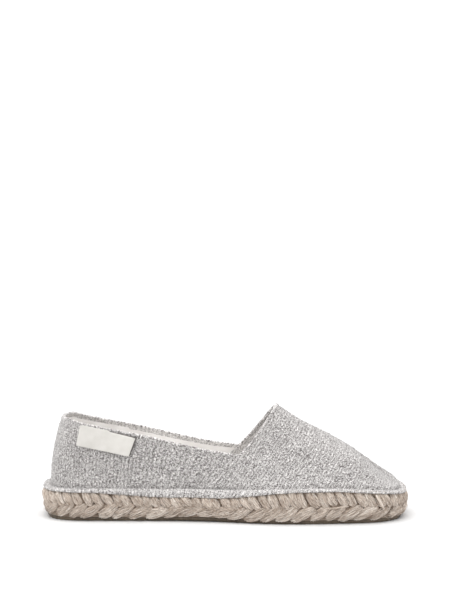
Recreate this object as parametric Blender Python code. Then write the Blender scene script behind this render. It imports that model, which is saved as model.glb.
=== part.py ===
"""A right espadrille: a cloth upper sewn to a braided jute sole with a rubber tread.

+X runs from heel to toe, -Y is the outer side of the foot and the floor is z = 0.
The origin is on the floor under the middle of the sole. Lengths are in metres.
"""

import math

import bmesh
import bpy
import numpy as np
from mathutils import Vector

# The sizes that set the last
LENGTH = 0.252
BALL_WIDTH = 0.090
INSTEP_HEIGHT = 0.0768
HEEL_HEIGHT = 0.0688
SOLE_HEIGHT = 0.0228

# The sole
RUBBER = 0.0022
RUBBER_INSET = 0.0040
RUBBER_DRAFT = 0.0007
RUBBER_DRAFT_UP_TO = 0.4
ARCH_LIFT = 0.0006
TOE_SPRING = 0.0006
BRAID_PITCH = 0.0066
RIB_DEPTH = 0.0013
COLUMNS_PER_SEGMENT = 3
UPPER_RIB_COLUMNS = 3
LOWER_RIB_COLUMNS = 5

# The cloth
CLOTH = 0.0016
HEM = 0.0006
VAMP_LAP = 0.0007
LAP_EDGE = 0.0012
RIM_ROUNDNESS = 0.35
FEATHER_INSET = 0.0065
SEAT_GAP = 0.0003
INSOLE = 0.0020
INSOLE_BEVEL = 0.0006
INSOLE_CLEARANCE = 0.0023

# The folded tab at the heel
LABEL_LENGTH = 0.0370
LABEL_DROP = 0.0135
LABEL_THICKNESS = 0.0009
LABEL_START = 0.0280
LABEL_BELOW_EDGE = 0.0012
LABEL_LIFT = 0.0013
LABEL_CELLS = (7, 3)
WALL_STEP = 0.002

# Where the last's features lie, as shares of the length
HEEL_ROUND = 0.127
HEEL_FULLNESS = 2.6
TOE_ROUND = 0.850
TOE_FULLNESS = 2.7
SEAM_ALONG = 0.452
THROAT_ALONG = 0.640
TOE_CROWN_ALONG = 0.922
HEEL_CROWN_ALONG = 0.150
ARCH_FROM, ARCH_TO = 0.27, 0.58
SPRING_FROM = 0.86
TOE_BEND = 0.42
QUARTER_BEND = 0.55
HEEL_BEND = 0.76
THROAT_BOW = 0.18
FOOT_FLARE = 0.08
FLARE_FADE = 0.35
FLARE_PEAK = 27 / 4

LATERAL, MEDIAL = -1, 1
LOWER_ROWS = (0.0, 0.2, 0.42, 0.64, 0.84, 1.0)
CROWN_ROWS = 6
COLLAR_ROW = len(LOWER_ROWS) - 1
CROWN_ROW = COLLAR_ROW + CROWN_ROWS
TIP_TURN = math.radians(42)
CROWN_STEP = 0.004


class Sections:
    """A table with a row for each section; each named column reads as a smooth curve."""

    def __init__(self, names, rows):
        self.rows = np.array(rows)
        self.names = names

    def at(self, name, along):
        x, y = self.rows[:, 0], self.rows[:, self.names.index(name)]
        step = np.diff(x)
        rise = np.diff(y) / step
        slope = np.zeros(len(x))
        slope[0], slope[-1] = rise[0], rise[-1]
        for i in range(1, len(x) - 1):
            before, after = rise[i - 1], rise[i]
            if before * after > 0:
                slope[i] = 2 * before * after / (before + after)
        i = int(np.clip(np.searchsorted(x, along) - 1, 0, len(step) - 1))
        t = min(max((along - x[i]) / step[i], 0.0), 1.0)
        ends = (1 + 2 * t) * (1 - t) ** 2 * y[i] + t * t * (3 - 2 * t) * y[i + 1]
        return ends + step[i] * t * (1 - t) * ((1 - t) * slope[i] - t * slope[i + 1])


# centre and half are shares of the ball width; the heights are shares of the sole height
SOLE = Sections(
    ("along", "centre", "half", "top", "cloth_edge", "braid_line"),
    (
        (0.00, 0.000, 0.350, 0.884, 0.853, 0.474),
        (0.12, 0.000, 0.358, 0.895, 0.853, 0.505),
        (0.23, -0.004, 0.356, 0.895, 0.789, 0.484),
        (0.35, -0.018, 0.350, 0.874, 0.705, 0.442),
        (0.47, -0.028, 0.378, 0.874, 0.695, 0.432),
        (0.56, -0.025, 0.432, 0.916, 0.800, 0.442),
        (0.64, -0.014, 0.478, 0.958, 0.905, 0.474),
        (0.71, 0.001, 0.498, 0.979, 0.953, 0.516),
        (0.78, 0.010, 0.492, 0.968, 0.953, 0.558),
        (0.90, 0.014, 0.458, 0.895, 0.879, 0.505),
        (1.00, 0.010, 0.430, 0.726, 0.711, 0.389),
    ),
)

# collar is a share of the heel's rise above the sole
COLLAR = Sections(
    ("along", "collar"),
    (
        (0.050, 0.980),
        (0.075, 0.985),
        (0.100, 0.945),
        (0.155, 0.875),
        (0.195, 0.835),
        (0.254, 0.772),
        (0.320, 0.698),
        (0.386, 0.612),
        (0.452, 0.537),
        (0.534, 0.478),
        (0.600, 0.450),
    ),
)

# The crown is the last's top line: a share of the instep's rise plus one of the heel's
CROWN = Sections(
    ("along", "of_instep", "of_heel", "fullness"),
    (
        (0.000, 0.00, 1.36, 2.30),
        (0.150, 0.00, 1.36, 2.30),
        (0.300, 0.35, 0.90, 2.15),
        (0.450, 0.70, 0.43, 1.85),
        (0.600, 0.98, 0.02, 1.80),
        (0.640, 0.988, 0.00, 1.80),
        (0.656, 0.935, 0.00, 1.80),
        (0.700, 0.794, 0.00, 1.82),
        (0.765, 0.636, 0.00, 1.88),
        (0.831, 0.454, 0.00, 1.96),
        (0.897, 0.230, 0.00, 2.05),
        (0.922, 0.140, 0.00, 2.10),
        (1.000, -0.115, 0.00, 2.20),
    ),
)

# How the cloth turns out over the sole's edge: in from the edge and above the shoulder, in
# cloth thicknesses for its underside. drop is a share of the way down to the cloth's edge.
FLANGE = (
    {"in": 0.13, "drop": 1.00, "under_in": 1.00, "under_down": 0.00},
    {"in": 0.19, "drop": 0.50, "under_in": 1.00, "under_down": 0.00},
    {"in": 0.43, "drop": 0.12, "under_in": 0.60, "under_down": 0.78},
    {"in": 0.70, "drop": 0.00, "under_in": 0.40, "under_down": 1.00},
    {"in": 1.00, "drop": 0.00, "under_in": 1.00, "under_down": 1.00},
)

# The braid's rings from the cloth down: which row of braid, the share of the row's height,
# how far inside the outline, how deep the ribs are cut, and the slant in columns
BRAID = (
    {"row": "upper", "height": 1.00, "inset": 0.0007, "rib": 0.8, "slant": 0.0},
    {"row": "upper", "height": 0.64, "inset": 0.0000, "rib": 1.0, "slant": -0.75},
    {"row": "upper", "height": 0.26, "inset": 0.0003, "rib": 1.0, "slant": -1.5},
    {"row": "upper", "height": 0.00, "inset": 0.0021, "rib": 0.2, "slant": -2.0},
    {"row": "lower", "height": 0.76, "inset": 0.0006, "rib": 1.0, "slant": -0.8},
    {"row": "lower", "height": 0.40, "inset": 0.0004, "rib": 1.0, "slant": 1.0},
    {"row": "lower", "height": 0.08, "inset": 0.0016, "rib": 0.6, "slant": 2.6},
)
FOOT_SLANT = 3

MATERIALS = {
    "grey_cloth": ((0.46, 0.45, 0.435), 0.95),
    "jute": ((0.47, 0.36, 0.26), 0.9),
    "rubber": ((0.30, 0.23, 0.17), 0.6),
    "white_cloth": ((0.78, 0.76, 0.72), 0.9),
    "white_tape": ((0.85, 0.84, 0.81), 0.8),
}


def cap_round(share, fullness):
    """1 at the cap's foot and 0 at its tip."""
    return max(0.0, 1.0 - share**fullness) ** (1.0 / fullness)


def half_width(along):
    half = BALL_WIDTH * SOLE.at("half", along)
    if along < HEEL_ROUND:
        return half * cap_round((HEEL_ROUND - along) / HEEL_ROUND, HEEL_FULLNESS)
    if along > TOE_ROUND:
        return half * cap_round((along - TOE_ROUND) / (1 - TOE_ROUND), TOE_FULLNESS)
    return half


def arc_table(samples=400):
    """Shares of the length, toe to heel, with the share of the edge's arc up to each."""
    along = (1 + np.cos(np.linspace(0, math.pi, samples))) / 2
    along[0], along[-1] = 1.0, 0.0
    half = np.array([half_width(a) for a in along])
    steps = np.hypot(np.diff(along) * LENGTH, np.diff(half))
    arc = np.concatenate(([0.0], np.cumsum(steps)))
    return along, arc / arc[-1], 2 * arc[-1]


ALONG, ARC, PERIMETER = arc_table()
# Sections on each side: one to each rib of the upper braid, in whole groups for the lower
HALF_RING = LOWER_RIB_COLUMNS * round(PERIMETER / (2 * LOWER_RIB_COLUMNS * BRAID_PITCH))


def along_at(turn):
    """The share of the length at a turn round the sole: 0 at the toe, 0.5 at the heel."""
    turn = turn % 1.0
    return float(np.interp(2 * min(turn, 1 - turn), ARC, ALONG))


def turn_at(along):
    """The outer side's turn at a share of the length."""
    return float(np.interp(along, ALONG[::-1], ARC[::-1])) / 2


def raw_edge(turn):
    along = along_at(turn)
    side = LATERAL if turn % 1.0 < 0.5 else MEDIAL
    y = BALL_WIDTH * SOLE.at("centre", along) + side * half_width(along)
    return np.array((LENGTH * (along - 0.5), y))


def middle_of_edge():
    ys = [raw_edge(i / 360)[1] for i in range(360)]
    return (min(ys) + max(ys)) / 2


SIDE_SHIFT = middle_of_edge()


def centre_line(along):
    return BALL_WIDTH * SOLE.at("centre", along) - SIDE_SHIFT


def outward(turn):
    """The outline's outward direction, seen from above."""
    reach = 1 / (8 * HALF_RING)
    across = raw_edge(turn + reach) - raw_edge(turn - reach)
    return np.array((across[1], -across[0])) / -np.hypot(*across)


def edge(turn, inset=0.0):
    """A point of the sole's outline seen from above, moved inwards by the inset."""
    x, y = raw_edge(turn) - inset * outward(turn)
    return x, y - SIDE_SHIFT


def ground(along):
    """The height of the tread's underside: flat at heel and ball, up at arch and toe."""
    lift = 0.0
    if ARCH_FROM < along < ARCH_TO:
        lift = ARCH_LIFT * math.sin(math.pi * (along - ARCH_FROM) / (ARCH_TO - ARCH_FROM)) ** 2
    if along > SPRING_FROM:
        lift = TOE_SPRING * ((along - SPRING_FROM) / (1 - SPRING_FROM)) ** 2
    return lift


def sole_height(name, along):
    """The height of the sole's top, the cloth's lower edge or the line between the braids."""
    return ground(along) + SOLE_HEIGHT * SOLE.at(name, along)


def ring_turns():
    """The turns of the sole's sections, all round."""
    return [i / (2 * HALF_RING) for i in range(2 * HALF_RING)]


def flange_point(turn, row, depth):
    """A point of the turned-out cloth, or of what lies the given depth beneath its face."""
    x, y = edge(turn, row["in"] * FEATHER_INSET + row["under_in"] * depth)
    along = x / LENGTH + 0.5
    top = sole_height("top", along) + CLOTH + SEAT_GAP
    low = sole_height("cloth_edge", along) + SEAT_GAP
    z = top + (low - top) * row["drop"] - row["under_down"] * depth
    return Vector((x, y, z))


def crown_height(along):
    instep = (INSTEP_HEIGHT - SOLE_HEIGHT) * CROWN.at("of_instep", along)
    heel = (HEEL_HEIGHT - SOLE_HEIGHT) * CROWN.at("of_heel", along)
    return SOLE_HEIGHT + instep + heel


def collar_height(x):
    share = COLLAR.at("collar", x / LENGTH + 0.5)
    return SOLE_HEIGHT + (HEEL_HEIGHT - SOLE_HEIGHT) * share


def ease(share):
    """0 to 1 with no slope at either end."""
    share = min(max(share, 0.0), 1.0)
    return share * share * (3 - 2 * share)


def bisect(is_below):
    """The angle, up to a right angle, at which the test turns false."""
    low, high = 0.0, math.pi / 2
    for _ in range(36):
        middle = (low + high) / 2
        low, high = (middle, high) if is_below(middle) else (low, middle)
    return (low + high) / 2


class Rib:
    """A line of the last from the sole's edge up to its crown, at one turn."""

    def __init__(self, turn):
        half_turn = min(turn % 1.0, 1 - turn % 1.0)
        seam = turn_at(SEAM_ALONG)
        self.flare = 0.0
        if half_turn <= seam:
            start, end, share = TOE_CROWN_ALONG, THROAT_ALONG, half_turn / seam
            self.lean = ease(share / TOE_BEND)
            self.flare = FOOT_FLARE * ease(share / FLARE_FADE) * ease((1 - share) / FLARE_FADE)
        else:
            start, end = THROAT_ALONG, HEEL_CROWN_ALONG
            share = (half_turn - seam) / (0.5 - seam)
            self.lean = 1 - ease(share / QUARTER_BEND)
            share = math.sin(math.pi / 2 * min(share / HEEL_BEND, 1.0))
        crown = start + (end - start) * share
        self.foot = flange_point(turn, FLANGE[-1], 0.0)
        self.top = Vector((LENGTH * (crown - 0.5), centre_line(crown), crown_height(crown)))
        self.bend = 2 / CROWN.at("fullness", along_at(turn))
        # A rib that runs along the crown at its top arrives there at the crown's own slope.
        slope = (crown_height(crown) - crown_height(crown - CROWN_STEP)) / (LENGTH * CROWN_STEP)
        in_vamp = half_turn <= seam
        self.slide = slope * (self.top.x - self.foot.x) * (1 - self.lean) if in_vamp else 0.0

    def point(self, angle):
        """From the foot at 0 to the crown at a right angle."""
        rise = math.sin(angle) ** self.bend
        across = 1 - max(0.0, math.cos(angle)) ** self.bend
        bowed = rise + THROAT_BOW * rise * (1 - rise)
        forward = self.lean * bowed + (1 - self.lean) * across
        reach = self.top - self.foot
        lift = (reach.z - self.slide) * rise + self.slide * across
        inward = across + self.flare * FLARE_PEAK * rise * (1 - rise) ** 2
        return self.foot + Vector((reach.x * forward, reach.y * inward, lift))

    def angle_at(self, height):
        return bisect(lambda angle: self.point(angle).z < height)

    def collar_angle(self):
        def below_collar(angle):
            point = self.point(angle)
            return point.z < collar_height(point.x)

        return bisect(below_collar)


def new_object(name, bm, material):
    bmesh.ops.recalc_face_normals(bm, faces=bm.faces)
    mesh = bpy.data.meshes.new(name)
    bm.to_mesh(mesh)
    bm.free()
    mesh.shade_smooth()
    mesh.set_sharp_from_angle(angle=math.radians(40))
    mesh.materials.append(material)
    obj = bpy.data.objects.new(name, mesh)
    bpy.context.scene.collection.objects.link(obj)
    return obj


def plain_material(name):
    colour, roughness = MATERIALS[name]
    material = bpy.data.materials.new(name)
    material.use_nodes = True
    shader = material.node_tree.nodes["Principled BSDF"]
    shader.inputs["Base Color"].default_value = (*colour, 1)
    shader.inputs["Roughness"].default_value = roughness
    shader.inputs["Metallic"].default_value = 0.0
    return material


def add_ring(bm, points):
    return [bm.verts.new(p) for p in points]


def bridge(bm, ring_a, ring_b):
    """Faces between two closed rings with the same number of points."""
    count = len(ring_a)
    for i in range(count):
        j = (i + 1) % count
        bm.faces.new((ring_a[i], ring_a[j], ring_b[j], ring_b[i]))


def bridge_fine(bm, coarse, fine, offset=0):
    """Faces between a ring and one with COLUMNS_PER_SEGMENT times as many points."""
    count = len(coarse)
    for i in range(count):
        a, b = coarse[i], coarse[(i + 1) % count]
        first = i * COLUMNS_PER_SEGMENT - offset
        run = [fine[(first + k) % len(fine)] for k in range(COLUMNS_PER_SEGMENT + 1)]
        middle = COLUMNS_PER_SEGMENT // 2
        for k in range(COLUMNS_PER_SEGMENT):
            if k == middle:
                bm.faces.new((a, run[k], run[k + 1], b))
            else:
                bm.faces.new((a if k < middle else b, run[k], run[k + 1]))


def close_ring(bm, ring):
    """A cap of faces straight across, between points at the same place along the length."""
    count = len(ring)
    for i in range(count // 2):
        corners = (ring[i], ring[i + 1], ring[-i - 1], ring[-i % count])
        bm.faces.new(tuple(dict.fromkeys(corners)))


def section_ring(bm, inset, height):
    """A ring of the sole's sections at an inset, with its height worked out at each one."""
    points = []
    for turn in ring_turns():
        x, y = edge(turn, inset)
        points.append((x, y, height(x / LENGTH + 0.5)))
    return add_ring(bm, points)


def closed_stack(rings_of, name, material):
    """A solid of plain rings, each an inset and a function of height, from the bottom up."""
    bm = bmesh.new()
    rings = [section_ring(bm, inset, height) for inset, height in rings_of]
    for below, above in zip(rings, rings[1:]):
        bridge(bm, below, above)
    close_ring(bm, rings[0])
    close_ring(bm, rings[-1])
    return new_object(name, bm, material)


def rubber_outsole(material):
    def tread_top(along):
        return ground(along) + RUBBER

    def tread_side(along):
        return ground(along) + RUBBER_DRAFT_UP_TO * RUBBER

    rings = (
        (RUBBER_INSET + RUBBER_DRAFT, ground),
        (RUBBER_INSET, tread_side),
        (RUBBER_INSET, tread_top),
    )
    return closed_stack(rings, "rubber_outsole", material)


def insole(material):
    inset = FEATHER_INSET + CLOTH + INSOLE_CLEARANCE

    def level(above):
        return lambda along: sole_height("top", along) + SEAT_GAP + above

    rings = (
        (inset, level(0.0)),
        (inset, level(INSOLE - INSOLE_BEVEL)),
        (inset + INSOLE_BEVEL, level(INSOLE)),
    )
    return closed_stack(rings, "insole", material)


def rib_cut(column, columns_per_rib):
    """1 in the groove between two ribs and nearly 0 on their backs."""
    return abs(math.cos(math.pi * column / columns_per_rib)) ** 4


def braid_count():
    """Columns round the sole: a whole number of ribs in both rows of braid."""
    return 2 * HALF_RING * COLUMNS_PER_SEGMENT


def braid_ring(bm, row):
    columns = braid_count()
    is_upper = row["row"] == "upper"
    per_rib = UPPER_RIB_COLUMNS if is_upper else LOWER_RIB_COLUMNS
    points = []
    for column in range(columns):
        turn = (column + row["slant"]) / columns
        cut = RIB_DEPTH * row["rib"] * rib_cut(column, per_rib)
        x, y = edge(turn, row["inset"] + cut)
        along = x / LENGTH + 0.5
        line = sole_height("braid_line", along)
        if is_upper:
            low, high = line, sole_height("cloth_edge", along)
        else:
            low, high = ground(along) + RUBBER + SEAT_GAP, line
        points.append((x, y, low + (high - low) * row["height"]))
    return add_ring(bm, points)


def jute_sole(material):
    """The sole's side is two rows of braid; its shoulder is cut back for the cloth."""
    bm = bmesh.new()
    depth = CLOTH + SEAT_GAP
    rim_inset = FLANGE[0]["in"] * FEATHER_INSET
    shoulder = [
        add_ring(bm, [flange_point(turn, row, depth) for turn in ring_turns()])
        for row in (FLANGE[4], FLANGE[3], FLANGE[2])
    ]
    columns = braid_count()
    ledge_points = []
    for column in range(columns):
        turn = column / columns
        x, y = edge(turn, rim_inset + depth + SEAT_GAP)
        ledge_points.append((x, y, sole_height("cloth_edge", x / LENGTH + 0.5)))
    ledge = add_ring(bm, ledge_points)
    braid = [braid_ring(bm, row) for row in BRAID]
    foot = section_ring(
        bm, RUBBER_INSET, lambda along: ground(along) + RUBBER + SEAT_GAP
    )
    close_ring(bm, shoulder[0])
    bridge(bm, shoulder[0], shoulder[1])
    bridge(bm, shoulder[1], shoulder[2])
    bridge_fine(bm, shoulder[2], ledge)
    for above, below in zip([ledge, *braid], braid):
        bridge(bm, above, below)
    bridge_fine(bm, foot, braid[-1], offset=FOOT_SLANT)
    close_ring(bm, foot)
    return new_object("jute_sole", bm, material)


def upper_turns():
    """The cloth's sections: the sole's own, and one more behind each side seam."""
    half = [i / (2 * HALF_RING) for i in range(HALF_RING + 1)]
    seam = min(range(len(half)), key=lambda i: abs(half[i] - turn_at(SEAM_ALONG)))
    half[seam] = turn_at(SEAM_ALONG)
    half.insert(seam + 1, half[seam] + LAP_EDGE / PERIMETER)
    return half + [1 - turn for turn in half[-2:0:-1]], seam


def rib_angles(turn, rib, in_vamp):
    """The angles of a rib's points: up to the collar's height, then over the crown."""
    if not in_vamp:
        top = rib.point(rib.collar_angle()).z
        return [rib.angle_at(rib.foot.z + (top - rib.foot.z) * s) for s in LOWER_ROWS]
    seam = turn_at(SEAM_ALONG)
    share = min(turn % 1.0, 1 - turn % 1.0) / seam
    throat = Rib(seam).collar_angle()
    turn_over = TIP_TURN + (throat - TIP_TURN) * min(share, 1.0)
    top = rib.point(turn_over).z
    angles = [rib.angle_at(rib.foot.z + (top - rib.foot.z) * s) for s in LOWER_ROWS]
    step = (math.pi / 2 - turn_over) / CROWN_ROWS
    return angles + [turn_over + step * (i + 1) for i in range(CROWN_ROWS)]


class Upper:
    """The cloth's face as a grid of ribs, and the solid made from it."""

    def __init__(self):
        self.turns, self.seam = upper_turns()
        self.count = len(self.turns)
        self.grid = []
        for i, turn in enumerate(self.turns):
            rib = Rib(turn)
            angles = rib_angles(turn, rib, self.in_vamp(i))
            self.grid.append([rib.point(angle) for angle in angles])

    def in_vamp(self, i):
        return i <= self.seam or i >= self.count - self.seam

    def key(self, i, row):
        """Ribs of both sides share their point on the crown."""
        i = i % self.count
        if row == CROWN_ROW:
            i = min(i, (self.count - i) % self.count)
        return i, row

    def cells(self):
        """The corners of each face of the wall."""
        for i in range(self.count):
            both_in_vamp = self.in_vamp(i) and self.in_vamp((i + 1) % self.count)
            top = CROWN_ROW if both_in_vamp else COLLAR_ROW
            for row in range(top):
                corners = ((i, row), (i + 1, row), (i + 1, row + 1), (i, row + 1))
                yield tuple(dict.fromkeys(self.key(*c) for c in corners))

    def directions(self):
        """The face's outward direction at each point."""
        bm = bmesh.new()
        verts = {}
        for cell in self.cells():
            for key in cell:
                if key not in verts:
                    verts[key] = bm.verts.new(self.grid[key[0]][key[1]])
            bm.faces.new([verts[key] for key in cell])
        bmesh.ops.recalc_face_normals(bm, faces=bm.faces)
        bm.normal_update()
        heel = (self.count // 2, 2)
        sign = -1 if verts[heel].normal.x > 0 else 1
        found = {key: sign * vert.normal.copy() for key, vert in verts.items()}
        bm.free()
        return found

    def depth(self, i, row):
        """The wall's thickness: a hem is folded inside along the collar and the throat."""
        at_collar = not self.in_vamp(i) and row >= COLLAR_ROW - 1
        at_throat = i in (self.seam, self.count - self.seam) and row >= COLLAR_ROW - 1
        return CLOTH + (HEM if at_collar or at_throat else 0.0)

    def rim_keys(self):
        """The opening's edge: up one side of the throat, down the other, round the collar."""
        first, last = self.seam, self.count - self.seam
        up = [self.key(last, row) for row in range(COLLAR_ROW, CROWN_ROW)]
        down = [self.key(first, row) for row in range(CROWN_ROW, COLLAR_ROW, -1)]
        return up + down + [self.key(i, COLLAR_ROW) for i in range(first, last)]

    def solid(self, material):
        bm = bmesh.new()
        directions = self.directions()
        face, back = {}, {}
        for key, direction in directions.items():
            i, row = key
            if row == 0:
                continue
            point = self.grid[i][row]
            lap = VAMP_LAP if self.in_vamp(i) else 0.0
            face[key] = bm.verts.new(point + direction * lap)
            back[key] = bm.verts.new(point - direction * self.depth(i, row))
        faces_of_flange, backs_of_flange = [], []
        for row in FLANGE:
            faces_of_flange.append(add_ring(bm, [flange_point(t, row, 0.0) for t in self.turns]))
            backs_of_flange.append(add_ring(bm, [flange_point(t, row, CLOTH) for t in self.turns]))
        for i in range(self.count):
            face[(i, 0)], back[(i, 0)] = faces_of_flange[-1][i], backs_of_flange[-1][i]
        for cell in self.cells():
            bm.faces.new([face[key] for key in cell])
            bm.faces.new([back[key] for key in reversed(cell)])
        for rings in (faces_of_flange, backs_of_flange):
            for below, above in zip(rings, rings[1:]):
                bridge(bm, below, above)
        bridge(bm, faces_of_flange[0], backs_of_flange[0])
        self.round_rim(bm, face, back, directions)
        return new_object("upper", bm, material)

    def round_rim(self, bm, face, back, directions):
        """Joins face and back along the opening through one rounded row of points."""
        keys = self.rim_keys()
        ridge = []
        for n, key in enumerate(keys):
            i, row = key
            before, after = face[keys[n - 1]].co, face[keys[(n + 1) % len(keys)]].co
            out = (after - before).cross(directions[key]).normalized()
            inside = self.grid[i][row] - self.grid[i][row - 1]
            if i in (self.seam, self.count - self.seam) and row > COLLAR_ROW:
                neighbour = i - 1 if i == self.seam else i + 1
                inside = self.grid[i][row] - self.grid[neighbour % self.count][row]
            if out.dot(inside) < 0:
                out = -out
            middle = (face[key].co + back[key].co) / 2
            thickness = (face[key].co - back[key].co).length
            ridge.append(bm.verts.new(middle + out * RIM_ROUNDNESS * thickness))
        bridge(bm, [face[key] for key in keys], ridge)
        bridge(bm, ridge, [back[key] for key in keys])


def wall_point(x, z):
    """The point of the outer quarter's face at a place seen from the side."""
    low, high = turn_at(SEAM_ALONG), 0.5
    for _ in range(30):
        turn = (low + high) / 2
        rib = Rib(turn)
        low, high = (turn, high) if rib.point(rib.angle_at(z)).x > x else (low, turn)
    return rib.point(rib.angle_at(z))


def side_label(material):
    """A blank folded tab that hangs from the collar; its front end stands off the wall."""
    across, down = LABEL_CELLS
    start = LABEL_START - LENGTH / 2
    first = Vector((start, 0, collar_height(start)))
    far = start + LABEL_LENGTH
    slope = (Vector((far, 0, collar_height(far))) - first).normalized()
    fall = Vector((slope.z, 0, -slope.x))
    bm = bmesh.new()
    layers = {"back": {}, "face": {}}
    for i in range(across + 1):
        for j in range(down + 1):
            along = slope * (LABEL_LENGTH * i / across)
            below = fall * (LABEL_BELOW_EDGE + LABEL_DROP * j / down)
            place = first + along + below
            point = wall_point(place.x, place.z)
            beside = wall_point(place.x + WALL_STEP, place.z) - point
            under = wall_point(place.x, place.z - WALL_STEP) - point
            out = beside.cross(under).normalized()
            if out.y > 0:
                out = -out
            lift = SEAT_GAP + LABEL_LIFT * (i / across) ** 2
            layers["back"][i, j] = bm.verts.new(point + out * lift)
            layers["face"][i, j] = bm.verts.new(point + out * (lift + LABEL_THICKNESS))
    for sheet in layers.values():
        for i in range(across):
            for j in range(down):
                cell = ((i, j), (i + 1, j), (i + 1, j + 1), (i, j + 1))
                bm.faces.new([sheet[c] for c in cell])
    border = [(i, 0) for i in range(across)] + [(across, j) for j in range(down)]
    border += [(i, down) for i in range(across, 0, -1)] + [(0, j) for j in range(down, 0, -1)]
    bridge(bm, [layers["back"][c] for c in border], [layers["face"][c] for c in border])
    return new_object("side_label", bm, material)


def build():
    for obj in list(bpy.data.objects):
        bpy.data.objects.remove(obj)
    rubber_outsole(plain_material("rubber"))
    jute_sole(plain_material("jute"))
    insole(plain_material("white_cloth"))
    Upper().solid(plain_material("grey_cloth"))
    side_label(plain_material("white_tape"))


build()
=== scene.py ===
"""The looks of a right espadrille: boucle cloth, braided jute and natural rubber.

+X runs from heel to toe, -Y is the outer side of the foot and the floor is z = 0. The cloth
and the braid follow the last's own lines, worked out from the same sizes as the solids.
Lengths are in metres.
"""

import math
import random

import bmesh
import bpy
import numpy as np
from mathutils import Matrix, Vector, noise
from mathutils.bvhtree import BVHTree


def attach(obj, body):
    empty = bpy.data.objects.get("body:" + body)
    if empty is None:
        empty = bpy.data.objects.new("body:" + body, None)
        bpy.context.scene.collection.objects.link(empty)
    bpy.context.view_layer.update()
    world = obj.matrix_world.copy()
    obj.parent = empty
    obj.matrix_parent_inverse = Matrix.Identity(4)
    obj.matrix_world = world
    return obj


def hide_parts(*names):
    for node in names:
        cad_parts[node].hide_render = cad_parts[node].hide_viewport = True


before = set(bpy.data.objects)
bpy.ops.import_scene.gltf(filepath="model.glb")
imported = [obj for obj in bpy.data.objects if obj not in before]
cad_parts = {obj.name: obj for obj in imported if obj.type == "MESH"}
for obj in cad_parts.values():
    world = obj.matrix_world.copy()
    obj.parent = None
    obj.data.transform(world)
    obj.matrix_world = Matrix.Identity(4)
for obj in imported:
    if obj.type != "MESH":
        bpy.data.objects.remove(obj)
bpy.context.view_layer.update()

MM = 0.001

# The sizes that set the last
LENGTH = 0.252
BALL_WIDTH = 0.090
INSTEP_HEIGHT = 0.0768
HEEL_HEIGHT = 0.0688
SOLE_HEIGHT = 0.0228

# The sole
RUBBER = 0.0022
RUBBER_INSET = 0.0040
ARCH_LIFT = 0.0006
TOE_SPRING = 0.0006
BRAID_PITCH = 0.0066

# The cloth
CLOTH = 0.0016
HEM = 0.0006
VAMP_LAP = 0.0007
FEATHER_INSET = 0.0065
SEAT_GAP = 0.0003
INSOLE = 0.0020
INSOLE_CLEARANCE = 0.0023

# The folded tab at the heel
LABEL_LENGTH = 0.0370
LABEL_DROP = 0.0135
LABEL_THICKNESS = 0.0009
LABEL_START = 0.0280
LABEL_BELOW_EDGE = 0.0012
LABEL_LIFT = 0.0013

# Where the last's features lie, as shares of the length
HEEL_ROUND = 0.127
HEEL_FULLNESS = 2.6
TOE_ROUND = 0.850
TOE_FULLNESS = 2.7
SEAM_ALONG = 0.452
THROAT_ALONG = 0.640
TOE_CROWN_ALONG = 0.922
HEEL_CROWN_ALONG = 0.150
ARCH_FROM, ARCH_TO = 0.27, 0.58
SPRING_FROM = 0.86
TOE_BEND = 0.42
QUARTER_BEND = 0.55
HEEL_BEND = 0.76
THROAT_BOW = 0.18
FOOT_FLARE = 0.08
FLARE_FADE = 0.35
FLARE_PEAK = 27 / 4
CROWN_STEP = 0.004

LATERAL, MEDIAL = -1, 1


class Sections:
    """A table with a row for each section; each named column reads as a smooth curve."""

    def __init__(self, names, rows):
        table = np.array(rows)
        self.x = table[:, 0]
        self.columns = {}
        for name, y in zip(names[1:], table.T[1:]):
            self.columns[name] = (y, self.slopes(y))

    def slopes(self, y):
        rise = np.diff(y) / np.diff(self.x)
        slope = np.zeros(len(y))
        slope[0], slope[-1] = rise[0], rise[-1]
        for i in range(1, len(y) - 1):
            before, after = rise[i - 1], rise[i]
            if before * after > 0:
                slope[i] = 2 * before * after / (before + after)
        return slope

    def at(self, name, along):
        y, slope = self.columns[name]
        x = self.x
        i = min(max(int(np.searchsorted(x, along)) - 1, 0), len(x) - 2)
        step = x[i + 1] - x[i]
        t = min(max((along - x[i]) / step, 0.0), 1.0)
        ends = (1 + 2 * t) * (1 - t) ** 2 * y[i] + t * t * (3 - 2 * t) * y[i + 1]
        return ends + step * t * (1 - t) * ((1 - t) * slope[i] - t * slope[i + 1])


# centre and half are shares of the ball width; the heights are shares of the sole height
SOLE = Sections(
    ("along", "centre", "half", "top", "cloth_edge", "braid_line"),
    (
        (0.00, 0.000, 0.350, 0.884, 0.853, 0.474),
        (0.12, 0.000, 0.358, 0.895, 0.853, 0.505),
        (0.23, -0.004, 0.356, 0.895, 0.789, 0.484),
        (0.35, -0.018, 0.350, 0.874, 0.705, 0.442),
        (0.47, -0.028, 0.378, 0.874, 0.695, 0.432),
        (0.56, -0.025, 0.432, 0.916, 0.800, 0.442),
        (0.64, -0.014, 0.478, 0.958, 0.905, 0.474),
        (0.71, 0.001, 0.498, 0.979, 0.953, 0.516),
        (0.78, 0.010, 0.492, 0.968, 0.953, 0.558),
        (0.90, 0.014, 0.458, 0.895, 0.879, 0.505),
        (1.00, 0.010, 0.430, 0.726, 0.711, 0.389),
    ),
)

# collar is a share of the heel's rise above the sole
COLLAR = Sections(
    ("along", "collar"),
    (
        (0.050, 0.980),
        (0.075, 0.985),
        (0.100, 0.945),
        (0.155, 0.875),
        (0.195, 0.835),
        (0.254, 0.772),
        (0.320, 0.698),
        (0.386, 0.612),
        (0.452, 0.537),
        (0.534, 0.478),
        (0.600, 0.450),
    ),
)

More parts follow.
